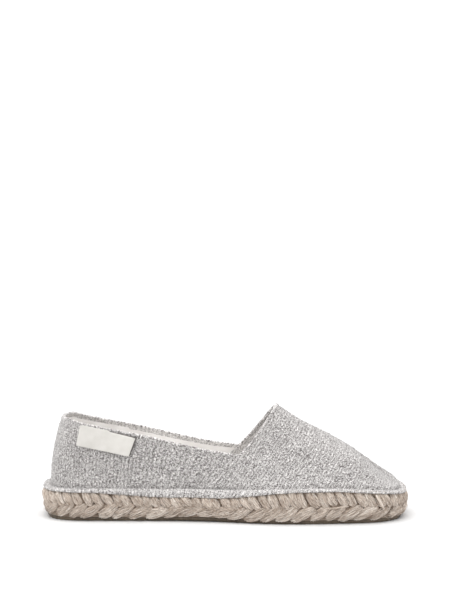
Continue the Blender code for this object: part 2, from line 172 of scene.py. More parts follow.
# The crown is the last's top line: a share of the instep's rise plus one of the heel's
CROWN = Sections(
    ("along", "of_instep", "of_heel", "fullness"),
    (
        (0.000, 0.00, 1.36, 2.30),
        (0.150, 0.00, 1.36, 2.30),
        (0.300, 0.35, 0.90, 2.15),
        (0.450, 0.70, 0.43, 1.85),
        (0.600, 0.98, 0.02, 1.80),
        (0.640, 0.988, 0.00, 1.80),
        (0.656, 0.935, 0.00, 1.80),
        (0.700, 0.794, 0.00, 1.82),
        (0.765, 0.636, 0.00, 1.88),
        (0.831, 0.454, 0.00, 1.96),
        (0.897, 0.230, 0.00, 2.05),
        (0.922, 0.140, 0.00, 2.10),
        (1.000, -0.115, 0.00, 2.20),
    ),
)

# How the cloth turns out over the sole's edge, from its lower rim to the crease: in from the
# edge, the share of the drop to the rim, and where its underside lies in cloth thicknesses
FLANGE = Sections(
    ("share", "in", "drop", "under_in", "under_down"),
    (
        (0.00, 0.13, 1.00, 1.00, 0.00),
        (0.25, 0.19, 0.50, 1.00, 0.00),
        (0.50, 0.43, 0.12, 0.60, 0.78),
        (0.75, 0.70, 0.00, 0.40, 1.00),
        (1.00, 1.00, 0.00, 1.00, 1.00),
    ),
)


def cap_round(share, fullness):
    """1 at the cap's foot and 0 at its tip."""
    return max(0.0, 1.0 - share**fullness) ** (1.0 / fullness)


def half_width(along):
    half = BALL_WIDTH * SOLE.at("half", along)
    if along < HEEL_ROUND:
        return half * cap_round((HEEL_ROUND - along) / HEEL_ROUND, HEEL_FULLNESS)
    if along > TOE_ROUND:
        return half * cap_round((along - TOE_ROUND) / (1 - TOE_ROUND), TOE_FULLNESS)
    return half


def arc_table(samples=400):
    """Shares of the length, toe to heel, with the share of the edge's arc up to each."""
    along = (1 + np.cos(np.linspace(0, math.pi, samples))) / 2
    along[0], along[-1] = 1.0, 0.0
    half = np.array([half_width(a) for a in along])
    steps = np.hypot(np.diff(along) * LENGTH, np.diff(half))
    arc = np.concatenate(([0.0], np.cumsum(steps)))
    return along, arc / arc[-1], 2 * arc[-1]


ALONG, ARC, PERIMETER = arc_table()

# The outline's direction is taken over this share of a turn to each side
OUTWARD_REACH = 0.0014
EDGE_SAMPLES = 360


def along_at(turn):
    """The share of the length at a turn round the sole: 0 at the toe, 0.5 at the heel."""
    turn = turn % 1.0
    return float(np.interp(2 * min(turn, 1 - turn), ARC, ALONG))


def share_at(x):
    """The share of the length at a place along the shoe."""
    return x / LENGTH + 0.5


def turn_at(along):
    """The outer side's turn at a share of the length."""
    return float(np.interp(along, ALONG[::-1], ARC[::-1])) / 2


def raw_edge(turn):
    along = along_at(turn)
    side = LATERAL if turn % 1.0 < 0.5 else MEDIAL
    y = BALL_WIDTH * SOLE.at("centre", along) + side * half_width(along)
    return np.array((LENGTH * (along - 0.5), y))


def middle_of_edge():
    ys = [raw_edge(i / EDGE_SAMPLES)[1] for i in range(EDGE_SAMPLES)]
    return (min(ys) + max(ys)) / 2


SIDE_SHIFT = middle_of_edge()


def centre_line(along):
    return BALL_WIDTH * SOLE.at("centre", along) - SIDE_SHIFT


def outward(turn):
    """The outline's outward direction, seen from above."""
    across = raw_edge(turn + OUTWARD_REACH) - raw_edge(turn - OUTWARD_REACH)
    return np.array((across[1], -across[0])) / -np.hypot(*across)


def edge(turn, inset=0.0):
    """A point of the sole's outline seen from above, moved inwards by the inset."""
    x, y = raw_edge(turn) - inset * outward(turn)
    return x, y - SIDE_SHIFT


def ground(along):
    """The height of the tread's underside: flat at heel and ball, up at arch and toe."""
    lift = 0.0
    if ARCH_FROM < along < ARCH_TO:
        lift = ARCH_LIFT * math.sin(math.pi * (along - ARCH_FROM) / (ARCH_TO - ARCH_FROM)) ** 2
    if along > SPRING_FROM:
        lift = TOE_SPRING * ((along - SPRING_FROM) / (1 - SPRING_FROM)) ** 2
    return lift


def sole_height(name, along):
    """The height of the sole's top, the cloth's lower edge or the line between the braids."""
    return ground(along) + SOLE_HEIGHT * SOLE.at(name, along)


def flange_point(turn, share, depth):
    """A point of the turned-out cloth, or of what lies the given depth beneath its face."""
    inset = FLANGE.at("in", share) * FEATHER_INSET + FLANGE.at("under_in", share) * depth
    x, y = edge(turn, inset)
    along = share_at(x)
    top = sole_height("top", along) + CLOTH + SEAT_GAP
    low = sole_height("cloth_edge", along) + SEAT_GAP
    z = top + (low - top) * FLANGE.at("drop", share) - FLANGE.at("under_down", share) * depth
    return Vector((x, y, z))


def crown_height(along):
    instep = (INSTEP_HEIGHT - SOLE_HEIGHT) * CROWN.at("of_instep", along)
    heel = (HEEL_HEIGHT - SOLE_HEIGHT) * CROWN.at("of_heel", along)
    return SOLE_HEIGHT + instep + heel


def collar_height(x):
    share = COLLAR.at("collar", share_at(x))
    return SOLE_HEIGHT + (HEEL_HEIGHT - SOLE_HEIGHT) * share


def ease(share):
    """0 to 1 with no slope at either end."""
    share = min(max(share, 0.0), 1.0)
    return share * share * (3 - 2 * share)


class Rib:
    """A line of the last from the sole's edge up to its crown, at one turn."""

    def __init__(self, turn):
        half_turn = min(turn % 1.0, 1 - turn % 1.0)
        seam = turn_at(SEAM_ALONG)
        in_vamp = half_turn <= seam
        self.flare = 0.0
        if in_vamp:
            start, end, share = TOE_CROWN_ALONG, THROAT_ALONG, half_turn / seam
            self.lean = ease(share / TOE_BEND)
            self.flare = FOOT_FLARE * ease(share / FLARE_FADE) * ease((1 - share) / FLARE_FADE)
        else:
            start, end = THROAT_ALONG, HEEL_CROWN_ALONG
            share = (half_turn - seam) / (0.5 - seam)
            self.lean = 1 - ease(share / QUARTER_BEND)
            share = math.sin(math.pi / 2 * min(share / HEEL_BEND, 1.0))
        crown = start + (end - start) * share
        self.foot = flange_point(turn, 1.0, 0.0)
        self.top = Vector((LENGTH * (crown - 0.5), centre_line(crown), crown_height(crown)))
        self.bend = 2 / CROWN.at("fullness", along_at(turn))
        slope = (crown_height(crown) - crown_height(crown - CROWN_STEP)) / (LENGTH * CROWN_STEP)
        self.slide = slope * (self.top.x - self.foot.x) * (1 - self.lean) if in_vamp else 0.0

    def point(self, angle):
        """From the foot at 0 to the crown at a right angle."""
        rise = math.sin(angle) ** self.bend
        across = 1 - max(0.0, math.cos(angle)) ** self.bend
        bowed = rise + THROAT_BOW * rise * (1 - rise)
        forward = self.lean * bowed + (1 - self.lean) * across
        reach = self.top - self.foot
        lift = (reach.z - self.slide) * rise + self.slide * across
        inward = across + self.flare * FLARE_PEAK * rise * (1 - rise) ** 2
        return self.foot + Vector((reach.x * forward, reach.y * inward, lift))

    def line(self, rows, to_collar):
        """Points spaced evenly from the foot to the crown, or to the collar's height."""
        samples = 72
        angles = np.linspace(0, math.pi / 2, samples) ** 2 / (math.pi / 2)
        points = np.array([self.point(a) for a in angles])
        if to_collar:
            above = np.array([p[2] - collar_height(p[0]) for p in points])
            end = int(np.argmax(above >= 0))
            t = above[end - 1] / (above[end - 1] - above[end])
            last = points[end - 1] + t * (points[end] - points[end - 1])
            points = np.vstack((points[:end], last))
        return evenly(points, rows)


def evenly(points, count):
    """The given number of points spaced evenly along a line of points."""
    reach = np.concatenate(([0.0], np.cumsum(np.linalg.norm(np.diff(points, axis=0), axis=1))))
    places = np.linspace(0, reach[-1], count)
    return np.stack([np.interp(places, reach, points[:, k]) for k in range(3)], axis=1)


# Materials

def linear(code):
    """An sRGB hex colour as linear red, green, blue and alpha."""
    channels = [int(code[i : i + 2], 16) / 255 for i in (1, 3, 5)]
    return (*[c / 12.92 if c <= 0.04045 else ((c + 0.055) / 1.055) ** 2.4 for c in channels], 1.0)


def add(tree, kind, inputs, out=0, stops=(), **settings):
    """Adds a node with its settings and links, and gives one of its outputs. An input is a
    value or the socket that it is linked to; stops are a ramp's places, with a colour or a
    level for each."""
    node = tree.nodes.new("ShaderNode" + kind)
    for name, value in settings.items():
        setattr(node, name, value)
    for name, value in inputs.items():
        if isinstance(value, bpy.types.NodeSocket):
            tree.links.new(value, node.inputs[name])
        else:
            node.inputs[name].default_value = value
    for number, (place, look) in enumerate(stops):
        elements = node.color_ramp.elements
        element = elements[number] if number < 2 else elements.new(place)
        element.position = place
        element.color = linear(look) if isinstance(look, str) else (look, look, look, 1.0)
    return node.outputs[out]


def surface(name, **values):
    """A new material with a Principled shader and its plain values."""
    material = bpy.data.materials.new(name)
    material.use_nodes = True
    shader = material.node_tree.nodes["Principled BSDF"]
    for socket, value in values.items():
        shader.inputs[socket.replace("_", " ")].default_value = value
    return material, material.node_tree, shader


def finish(tree, shader, colour, relief, depth, strength):
    """Links a colour and a relief of the given depth to the shader."""
    tree.links.new(colour, shader.inputs["Base Color"])
    bumps = {"Height": relief, "Distance": depth, "Strength": strength}
    tree.links.new(add(tree, "Bump", bumps), shader.inputs["Normal"])


def per_metre(*millimetres):
    """How many times a pattern with these sizes repeats in a metre."""
    return tuple(1 / (size * MM) for size in millimetres)


def bands(millimetres):
    """The scale of a band pattern whose bands lie this far apart."""
    return math.pi / 10 / (millimetres * MM)


# Yarns of the boucle lie 1.2 mm apart, every second one thicker; its loops are about 0.6 mm
# wide, drawn a little coarser so that they show
BOUCLE_YARN = 2.4
BOUCLE_LOOP = (0.80, 1.05, 0.80)
BOUCLE_FLECK = (0.62, 0.80, 0.62)


def boucle_cloth(name, shade):
    """Cotton and wool boucle: looped yarn of grey and pale fibres, so it looks flecked,
    rough and matt, with no gloss at all. shade goes from the gaps between its loops to the
    palest fibres. A point attribute makes it paler: on the turned-out edge for wear and as
    painted light, and on the low wall, along the hems and on the rims as painted light."""
    material, tree, shader = surface(name, Roughness=0.95, Sheen_Weight=0.2, Sheen_Roughness=0.5)
    place = add(tree, "UVMap", {})
    wander = add(tree, "TexNoise", {"Vector": place, "Scale": 1 / (5 * MM), "Detail": 1.0}, "Color")
    sway = add(tree, "VectorMath", {0: wander, 1: (0.5, 0.5, 0.5)}, operation="SUBTRACT")
    sway = add(tree, "VectorMath", {0: sway, "Scale": 2.2 * MM}, operation="SCALE")
    drift = add(tree, "VectorMath", {0: place, 1: sway}, operation="ADD")
    yarn = add(
        tree, "TexWave",
        {"Vector": drift, "Scale": bands(BOUCLE_YARN), "Distortion": 2.0, "Detail": 2.0,
         "Detail Scale": 2.0},
        "Fac", wave_type="BANDS", bands_direction="X",
    )
    loop_place = add(tree, "Mapping", {"Vector": drift, "Scale": per_metre(*BOUCLE_LOOP)})
    curl = add(
        tree, "TexNoise", {"Vector": loop_place, "Scale": 1.0, "Detail": 0.0, "Distortion": 0.8}
    )
    off_curl = add(tree, "Math", {0: curl, 1: 0.5}, operation="SUBTRACT")
    off_curl = add(tree, "Math", {0: off_curl}, operation="ABSOLUTE")
    loops = add(tree, "Math", {0: off_curl, 1: -5.0, 2: 1.0}, operation="MULTIPLY_ADD")
    fleck_place = add(tree, "Mapping", {"Vector": drift, "Scale": per_metre(*BOUCLE_FLECK)})
    fleck = add(
        tree, "TexNoise",
        {"Vector": fleck_place, "Scale": 1.0, "Detail": 2.0, "Roughness": 0.6},
    )
    # How much paler each point is made: wear on the turned-out edge, and painted light elsewhere
    rub = add(tree, "Attribute", {}, "Fac", attribute_name="rub")
    tone = 0.045
    for source, weight in ((loops, 0.28), (yarn, 0.07), (fleck, 0.6)):
        tone = add(tree, "Math", {0: source, 1: weight, 2: tone}, operation="MULTIPLY_ADD")
    paler = add(tree, "Math", {0: rub, 1: 0.08, 2: tone}, operation="MULTIPLY_ADD")
    stops = tuple(zip((0.35, 0.455, 0.555, 0.685), shade))
    finish(tree, shader, add(tree, "ValToRGB", {"Fac": paler}, stops=stops), tone, 0.9 * MM, 0.6)
    return material


def cotton_lining():
    """Plain-woven unbleached cotton: off-white, matt, its fine weave barely seen. Its threads
    lie 0.6 mm apart."""
    material, tree, shader = surface("cotton_lining", Roughness=0.9)
    place = add(tree, "UVMap", {})
    thread = {"Vector": place, "Scale": bands(0.6)}
    warp = add(tree, "TexWave", thread, "Fac", bands_direction="X")
    weft = add(tree, "TexWave", thread, "Fac", bands_direction="Y")
    weave = add(tree, "Math", {0: warp, 1: weft}, operation="MULTIPLY")
    soil = add(tree, "TexNoise", {"Vector": place, "Scale": 1 / (14 * MM), "Detail": 3.0})
    tone = add(tree, "Math", {0: weave, 1: 0.12, 2: soil}, operation="MULTIPLY_ADD")
    colour = add(tree, "ValToRGB", {"Fac": tone}, stops=((0.3, "#e6e2df"), (0.7, "#f7f5f3")))
    finish(tree, shader, colour, weave, 0.15 * MM, 0.6)
    return material


# Single jute fibres are 0.1 mm thick; they show here as strands half a millimetre wide
JUTE_STRAND = (0.50, 7.0, 0.50)
JUTE_LOT = (7.0, 26.0, 7.0)


def raw_jute(name, shade):
    """Raw jute: coarse plant fibre, sandy brown with paler and darker strands, faintly silky
    along the fibre. shade is the three colours from its darkest to its palest strands."""
    material, tree, shader = surface(name, Roughness=0.8, Sheen_Weight=0.15)
    place = add(tree, "UVMap", {})
    strand_place = add(tree, "Mapping", {"Vector": place, "Scale": per_metre(*JUTE_STRAND)})
    strands = add(
        tree, "TexNoise",
        {"Vector": strand_place, "Scale": 1.0, "Detail": 3.0, "Roughness": 0.65},
    )
    lot_place = add(tree, "Mapping", {"Vector": place, "Scale": per_metre(*JUTE_LOT)})
    lots = add(tree, "TexNoise", {"Vector": lot_place, "Scale": 1.0, "Detail": 1.0})
    tone = add(tree, "Math", {0: lots, 1: 0.5, 2: strands}, operation="MULTIPLY_ADD")
    stops = tuple(zip((0.60, 0.74, 0.88), shade))
    colour = add(tree, "ValToRGB", {"Fac": tone}, stops=stops)
    finish(tree, shader, colour, strands, 0.6 * MM, 1.0)
    return material


def crepe_rubber():
    """Natural rubber, moulded in a thin sheet: matt grey-brown with a fine cast grain, and
    shallow wavy grooves under the foot, 4 mm apart."""
    material, tree, shader = surface("crepe_rubber", Roughness=0.6, IOR=1.52)
    place = add(tree, "TexCoord", {}, "Object")
    grain = add(tree, "TexNoise", {"Vector": place, "Scale": 1 / (0.9 * MM), "Detail": 3.0})
    dust = add(tree, "TexNoise", {"Vector": place, "Scale": 1 / (11 * MM), "Detail": 3.0})
    grooves = add(
        tree, "TexWave",
        {"Vector": place, "Scale": bands(4.2), "Distortion": 5.0, "Detail": 0.0,
         "Detail Scale": 0.6},
        "Fac", bands_direction="X",
    )
    colour = add(tree, "ValToRGB", {"Fac": dust}, stops=((0.3, "#52473a"), (0.7, "#6b5e4e")))
    relief = add(tree, "Math", {0: grain, 1: 0.2, 2: grooves}, operation="MULTIPLY_ADD")
    finish(tree, shader, colour, relief, 0.6 * MM, 0.8)
    return material


def satin_tape(name, shade):
    """Polyester satin tape: close-woven and slightly shiny, with ribs 0.5 mm apart. It is white;
    its dark grey copy is painted shadow, for the shade under the tab's raised end."""
    material, tree, shader = surface(name, Roughness=0.5, Sheen_Weight=0.15)
    place = add(tree, "UVMap", {})
    rib = {"Vector": place, "Scale": bands(0.5)}
    ribs = add(tree, "TexWave", rib, "Fac", bands_direction="Y")
    soil = add(tree, "TexNoise", {"Vector": place, "Scale": 1 / (8 * MM), "Detail": 2.0})
    tone = add(tree, "Math", {0: ribs, 1: 0.1, 2: soil}, operation="MULTIPLY_ADD")
    colour = add(tree, "ValToRGB", {"Fac": tone}, stops=tuple(zip((0.3, 0.8), shade)))
    finish(tree, shader, colour, ribs, 0.08 * MM, 0.5)
    return material


def sewing_thread():
    """Spun polyester thread: pale grey, round and faintly shiny, with a tight twist."""
    material, tree, shader = surface("sewing_thread", Roughness=0.7, Sheen_Weight=0.2)
    place = add(tree, "UVMap", {})
    ply = {"Vector": place, "Scale": bands(0.5)}
    twist = add(tree, "TexWave", ply, "Fac", bands_direction="DIAGONAL")
    colour = add(tree, "ValToRGB", {"Fac": twist}, stops=((0.1, "#a39f9c"), (0.8, "#ccc8c5")))
    finish(tree, shader, colour, twist, 0.1 * MM, 0.6)
    return material


def matt_paper():
    """A sheet of white background paper: matt, with no grain that shows."""
    material, _, shader = surface("matt_paper", Roughness=1.0, Specular_IOR_Level=0.0)
    shader.inputs["Base Color"].default_value = linear("#d6d6d6")
    return material


# Meshes

class Sewn:
    """Gathers patches of a piece and welds them into one smooth object."""

    def __init__(self):
        self.points, self.faces, self.places, self.slots, self.rubs = [], [], [], [], []

    def patch(self, points, places, slot=0, rub=0.0):
        """A grid of points, rows by columns, with each point's place on the cloth and how much
        paler it is made, for wear and for painted light."""
        rows, columns = points.shape[:2]
        start = sum(len(p) for p in self.points)
        index = start + np.arange(rows * columns).reshape(rows, columns)
        quads = np.stack((index[:-1, :-1], index[:-1, 1:], index[1:, 1:], index[1:, :-1]), axis=-1)
        quads = quads.reshape(-1, 4)
        self.points.append(points.reshape(-1, 3))
        self.places.append(places.reshape(-1, 2))
        self.faces.append(quads)
        slots = np.broadcast_to(np.asarray(slot), (rows - 1, columns - 1))
        self.slots.append(slots.reshape(-1))
        self.rubs.append(np.broadcast_to(np.asarray(rub, float), (rows, columns)).reshape(-1))

    def make(self, name, materials, slot, replaces=(), sharp=50):
        points, faces = np.concatenate(self.points), np.concatenate(self.faces)
        places, slots = np.concatenate(self.places), np.concatenate(self.slots)
        mesh = bpy.data.meshes.new(name)
        mesh.from_pydata(points.tolist(), [], faces.tolist())
        layer = mesh.uv_layers.new(name="cloth")
        layer.data.foreach_set("uv", places[faces.reshape(-1)].reshape(-1).astype(np.float32))
        mesh.polygons.foreach_set("material_index", slots.astype(np.int32))
        # Per point: how much paler the boucle is made, for wear and for painted light
        rub = mesh.attributes.new("rub", "FLOAT", "POINT")
        rub.data.foreach_set("value", np.concatenate(self.rubs).astype(np.float32))
        bm = bmesh.new()
        bm.from_mesh(mesh)
        bmesh.ops.remove_doubles(bm, verts=bm.verts, dist=1e-6)
        bmesh.ops.dissolve_degenerate(bm, edges=bm.edges, dist=1e-7)
        bmesh.ops.recalc_face_normals(bm, faces=bm.faces)
        bm.to_mesh(mesh)
        bm.free()
        mesh.shade_smooth()
        mesh.set_sharp_from_angle(angle=math.radians(sharp))
        for material in materials:
            mesh.materials.append(material)
        obj = bpy.data.objects.new(name, mesh)
        bpy.context.scene.collection.objects.link(obj)
        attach(obj, "root")
        if replaces:
            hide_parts(*replaces)
        return obj


def unit(vectors):
    length = np.linalg.norm(vectors, axis=-1, keepdims=True)
    return vectors / np.maximum(length, 1e-12)


def spine_frames(path, out):
    """Along a path: its direction, the way out of the shoe and the way across both."""
    along = unit(np.gradient(path, axis=0))
    out = unit(out - np.sum(out * along, axis=1, keepdims=True) * along)
    return along, out, np.cross(along, out)


def strand(path, out, wide, thick, sides, place=(0.0, 0.0), ridges=0, ridge=0.0, twist=0.0):
    """A round or flat strand along a path; wide and thick are its half sizes along it."""
    along, out, across = spine_frames(path, out)
    reach = np.concatenate(([0.0], np.cumsum(np.linalg.norm(np.diff(path, axis=0), axis=1))))
    share = reach / reach[-1]
    turn = np.linspace(0, 2 * math.pi, sides + 1)
    groove = 1 - ridge * (0.5 - 0.5 * np.cos(ridges * turn[None, :] + twist * share[:, None]))
    a = (np.asarray(wide)[:, None] * np.cos(turn)[None, :] * groove)[..., None]
    b = (np.asarray(thick)[:, None] * np.sin(turn)[None, :] * groove)[..., None]
    points = path[:, None, :] + a * across[:, None, :] + b * out[:, None, :]
    points[:, -1] = points[:, 0]
    size = float(np.max(wide))
    places = np.empty(points.shape[:2] + (2,))
    places[..., 0] = place[0] + turn[None, :] * size
    places[..., 1] = place[1] + reach[:, None]
    return points, places


def cord(piece, path, out, wide, thick, sides, rub=0.0, **lay):
    """Adds a strand to a piece; lay is its place on the pattern, its ridges and its twist."""
    points, places = strand(path, out, wide, thick, sides, **lay)
    piece.patch(points, places, 0, rub)


# How much of the pattern runs over a rounded edge
ROUND_OVER = 0.0020


def rim(piece, face, back, places, axis, end, slot=0, steps=6, rub=(0.2, 0.5)):
    """Rounds off the edge between the face and the back of a cloth, at the first or the last
    line along an axis: end is 0 or -1. How much paler the rim is made, for wear and painted
    light, goes from the face to the back."""
    within = np.take(face, 1 if end == 0 else -2, axis)
    face, back, places = (np.take(grid, end, axis) for grid in (face, back, places))
    out = unit((face - within) + 1e-12)
    half = (face - back) / 2
    middle = (face + back) / 2
    bulge = np.linalg.norm(half, axis=1, keepdims=True)
    rows = []
    for angle in np.linspace(0, math.pi, steps + 1):
        rows.append(middle + math.cos(angle) * half + math.sin(angle) * bulge * out)
    rows[0], rows[-1] = face, back
    marks = np.repeat(places[None, :, :], steps + 1, axis=0).copy()
    marks[..., axis] += np.linspace(0, ROUND_OVER, steps + 1)[:, None]
    piece.patch(np.array(rows), marks, slot, np.linspace(*rub, steps + 1)[:, None])


# The cloth upper

FLANGE_ROWS = 10
QUARTER_ROWS = 34
VAMP_ROWS = 50
VAMP_STATIONS = 132
QUARTER_STATIONS = 300
UNDERLAP = 0.0005
HEM_BAND = 0.0023
STITCH_FROM_THROAT = 0.0023
STITCH_FROM_COLLAR = 0.0026
FACE_SPREAD = 0.0030
THREAD_SLANT = 0.75
VAMP_GRAIN = 0.95
THROAT_FACING = 0.0090
COLLAR_FACING = 0.0034
# How much paler the boucle is made: the turned-out edge for wear and as painted light; the low wall
# as painted light, fading over the given height; the hem with a painted highlight; the rims with
# painted light, from face to back
FLANGE_WEAR_AND_PAINTED_LIGHT = 0.45
PAINTED_LOW_WALL_LIGHT = 0.25
PAINTED_LIGHT_UP_TO = 0.0080
HEM_PAINTED_HIGHLIGHT = 0.10
RIM_PAINTED_LIGHT = (0.1, 1.3)
CREASE_FADE = 0.0060

# Relief along the edges in millimetres: how far in from the edge, how wide and how deep
STITCH_GROOVE = (2.3, 0.6, 0.5)
HEM_PUFF = (0.9, 0.9, 0.35)
HEM_FOLD = (1.4, 0.45, 0.9)

# The cloth's small unevenness in millimetres: how high and wide it is, and the height above
# the crease over which it comes in
UNEVENNESS = ((0.45, 16.0, 6.0), (0.16, 3.2, 2.0))

# The turned-out edge: its ripple, where its lower rim ends, and where its crease begins
RIPPLE, RIPPLE_SIZE = 0.00025, 0.0050
RIM_ENDS = 0.4
SINK_BEGINS = 0.7

# Soft troughs, and ridges where the depth is below nothing: the outer side's own, from place
# to place as shares of the length and of the instep's height, with width and depth
CREASES = (
    {"side": LATERAL, "from": (0.135, 0.50), "to": (0.205, 0.36), "width": 0.011, "depth": 0.0019},
    {"side": LATERAL, "from": (0.225, 0.58), "to": (0.265, 0.38), "width": 0.012, "depth": -0.0009},
    {"side": LATERAL, "from": (0.300, 0.52), "to": (0.330, 0.34), "width": 0.014, "depth": 0.0016},
    {"side": LATERAL, "from": (0.405, 0.44), "to": (0.385, 0.32), "width": 0.009, "depth": -0.0008},
    {"side": LATERAL, "from": (0.560, 0.72), "to": (0.700, 0.50), "width": 0.016, "depth": 0.0030},
    {"side": LATERAL, "from": (0.610, 0.52), "to": (0.740, 0.40), "width": 0.012, "depth": -0.0009},
    {"side": LATERAL, "from": (0.880, 0.36), "to": (0.935, 0.31), "width": 0.006, "depth": 0.0012},
    {"side": MEDIAL, "from": (0.150, 0.52), "to": (0.230, 0.36), "width": 0.012, "depth": 0.0015},
    {"side": MEDIAL, "from": (0.320, 0.50), "to": (0.350, 0.34), "width": 0.013, "depth": 0.0015},
    {"side": MEDIAL, "from": (0.570, 0.70), "to": (0.700, 0.48), "width": 0.013, "depth": 0.0014},
)


def crease_depth(point, side):
    """How far the cloth is pushed in at a point by the troughs of its side."""
    depth = 0.0
    place = np.array((point[0] + LENGTH / 2, point[2]))
    for crease in CREASES:
        if crease["side"] != side:
            continue
        a = np.array((crease["from"][0] * LENGTH, crease["from"][1] * INSTEP_HEIGHT))
        b = np.array((crease["to"][0] * LENGTH, crease["to"][1] * INSTEP_HEIGHT))
        share = np.clip(np.dot(place - a, b - a) / np.dot(b - a, b - a), 0, 1)
        gap = np.linalg.norm(place - a - share * (b - a)) / crease["width"]
        depth += crease["depth"] * math.exp(-gap * gap)
    return depth


# How far the wall bulges over the crease at the sole's shoulder, and how deep the crease is
SHOULDER = Sections(
    ("along", "bulge", "sink"),
    (
        (0.00, 0.0004, 0.0012),
        (0.20, 0.0009, 0.0014),
        (0.30, 0.0007, 0.0007),
        (0.42, 0.0011, 0.0012),
        (0.55, 0.0006, 0.0006),
        (0.80, 0.0003, 0.0005),
        (0.93, 0.0013, 0.0013),
        (1.00, 0.0010, 0.0011),
    ),
)
BULGE_HEIGHT = 0.0040


def cloth_normals(grid):
    """Outward directions of a grid of cloth: stations by rows."""
    down = np.gradient(grid, axis=0)
    up = np.gradient(grid, axis=1)
    return unit(np.cross(up, down))


def soft_relief(points, normals, above, sides):
    """Moves the cloth by its listed creases, its bulge and its small unevenness."""
    moved = points.copy()
    for i in range(points.shape[0]):
        for j in range(points.shape[1]):
            h = above[i, j]
            if h <= 0:
                continue
            p = points[i, j]
            bulge = SHOULDER.at("bulge", share_at(p[0]))
            lift = bulge * (h / BULGE_HEIGHT) * math.exp(1 - h / BULGE_HEIGHT)
            lift -= crease_depth(p, sides[i, j]) * ease(h / CREASE_FADE)
            for high, wide, fade in UNEVENNESS:
                lift += high * MM * noise.noise(Vector(p) / (wide * MM)) * ease(h / (fade * MM))
            moved[i, j] = p + normals[i, j] * lift
    return moved


def along_edge(to_edge, place, wide, deep):
    """A soft ridge or groove that runs along an edge of the cloth."""
    return np.exp(-(((to_edge - place * MM) / (wide * MM)) ** 2)) * deep * MM


def cloth_shell(cloth, grid, flange_backs, above, to_edge, lap):
    """A cloth of real thickness from its face: the given backs of its flange, a hem along its
    edge, puffed between the fold and the stitches, and how much paler it is made: the
    turned-out edge for wear and as painted light, the low wall as painted light and the hem
    with a painted highlight."""
    depth = CLOTH + HEM * np.clip(1 - to_edge / HEM_BAND, 0, 1) ** 0.5
    raised = np.clip(above / FACE_SPREAD, 0, 1)
    groove, puff, fold = (
        along_edge(to_edge, *relief) * raised for relief in (STITCH_GROOVE, HEM_PUFF, HEM_FOLD)
    )
    cloth.face = grid + cloth.normals * (lap * raised - groove + puff)[..., None]
    cloth.back = grid - cloth.normals * (depth - fold)[..., None]
    cloth.back[above <= 0] = flange_backs[above <= 0]
    cloth.to_edge = to_edge
    # Paler on the turned-out edge for wear and painted light, painted light low on the wall, and a
    # painted highlight along the hem
    low = np.where(above <= 0, FLANGE_WEAR_AND_PAINTED_LIGHT, PAINTED_LOW_WALL_LIGHT * np.exp(-above / PAINTED_LIGHT_UP_TO))
    cloth.rub = np.maximum(low, HEM_PAINTED_HIGHLIGHT * np.exp(-to_edge / HEM_BAND))


def flange_shares():
    return np.linspace(0, 1, FLANGE_ROWS)


def sink(share, along):
    """How deep the crease lies between the turned-out edge and the wall."""
    return SHOULDER.at("sink", along) * max(0.0, (share - SINK_BEGINS) / (1 - SINK_BEGINS)) ** 2


def flange_line(turn, depth):
    points = []
    for share in flange_shares():
        point = flange_point(turn, share, depth)
        place = Vector((point.x, point.y, share * 3 * MM)) / RIPPLE_SIZE
        point.z += RIPPLE * noise.noise(place) * (1 - share) - sink(share, share_at(point.x))
        point.z += CLOTH / 2 * max(0.0, 1 - share / RIM_ENDS)
        points.append(point)
    return np.array(points)


def distance_along(grid, axis, from_end):
    """How far each point of a grid lies from its first or last point along one axis."""
    steps = np.linalg.norm(np.diff(grid, axis=axis), axis=-1)
    pad = [(0, 0), (0, 0)]
    pad[axis] = (1, 0)
    reach = np.pad(np.cumsum(steps, axis=axis), pad)
    if from_end:
        return np.take(reach, [-1], axis=axis) - reach
    return reach


class Cloth:
    """One of the two cloths: its face, its back, and where on the cloth each point lies."""

    def __init__(self, normals, places, facing):
        self.normals, self.places, self.facing = normals, places, facing


def heel_quarters():
    """From one side seam round the heel to the other, up to the collar."""
    seam = turn_at(SEAM_ALONG) - UNDERLAP / PERIMETER
    turns = np.linspace(seam, 1 - seam, QUARTER_STATIONS)
    lines, backs = [], []
    for turn in turns:
        wall = Rib(turn).line(QUARTER_ROWS, to_collar=True)
        flange = flange_line(turn, 0.0)
        wall[0] = flange[-1]
        lines.append(np.vstack((flange, wall[1:])))
        backs.append(flange_line(turn, CLOTH))
    grid = np.array(lines)
    above = distance_along(grid[:, FLANGE_ROWS - 1 :], 1, False)
    above = np.hstack((np.zeros((len(turns), FLANGE_ROWS - 1)), above))
    normals = cloth_normals(grid)
    sides = np.where(turns < 0.5, LATERAL, MEDIAL)[:, None] * np.ones(grid.shape[1], int)
    grid = soft_relief(grid, normals, above, sides)
    to_edge = distance_along(grid, 1, True)
    flange_backs = np.zeros_like(grid)
    flange_backs[:, :FLANGE_ROWS] = np.array(backs)
    places = np.empty(grid.shape[:2] + (2,))
    places[..., 0] = turns[:, None] * PERIMETER
    places[..., 1] = distance_along(grid, 1, False)
    cloth = Cloth(normals, places, COLLAR_FACING)
    cloth_shell(cloth, grid, flange_backs, above, to_edge, 0.0)
    return cloth


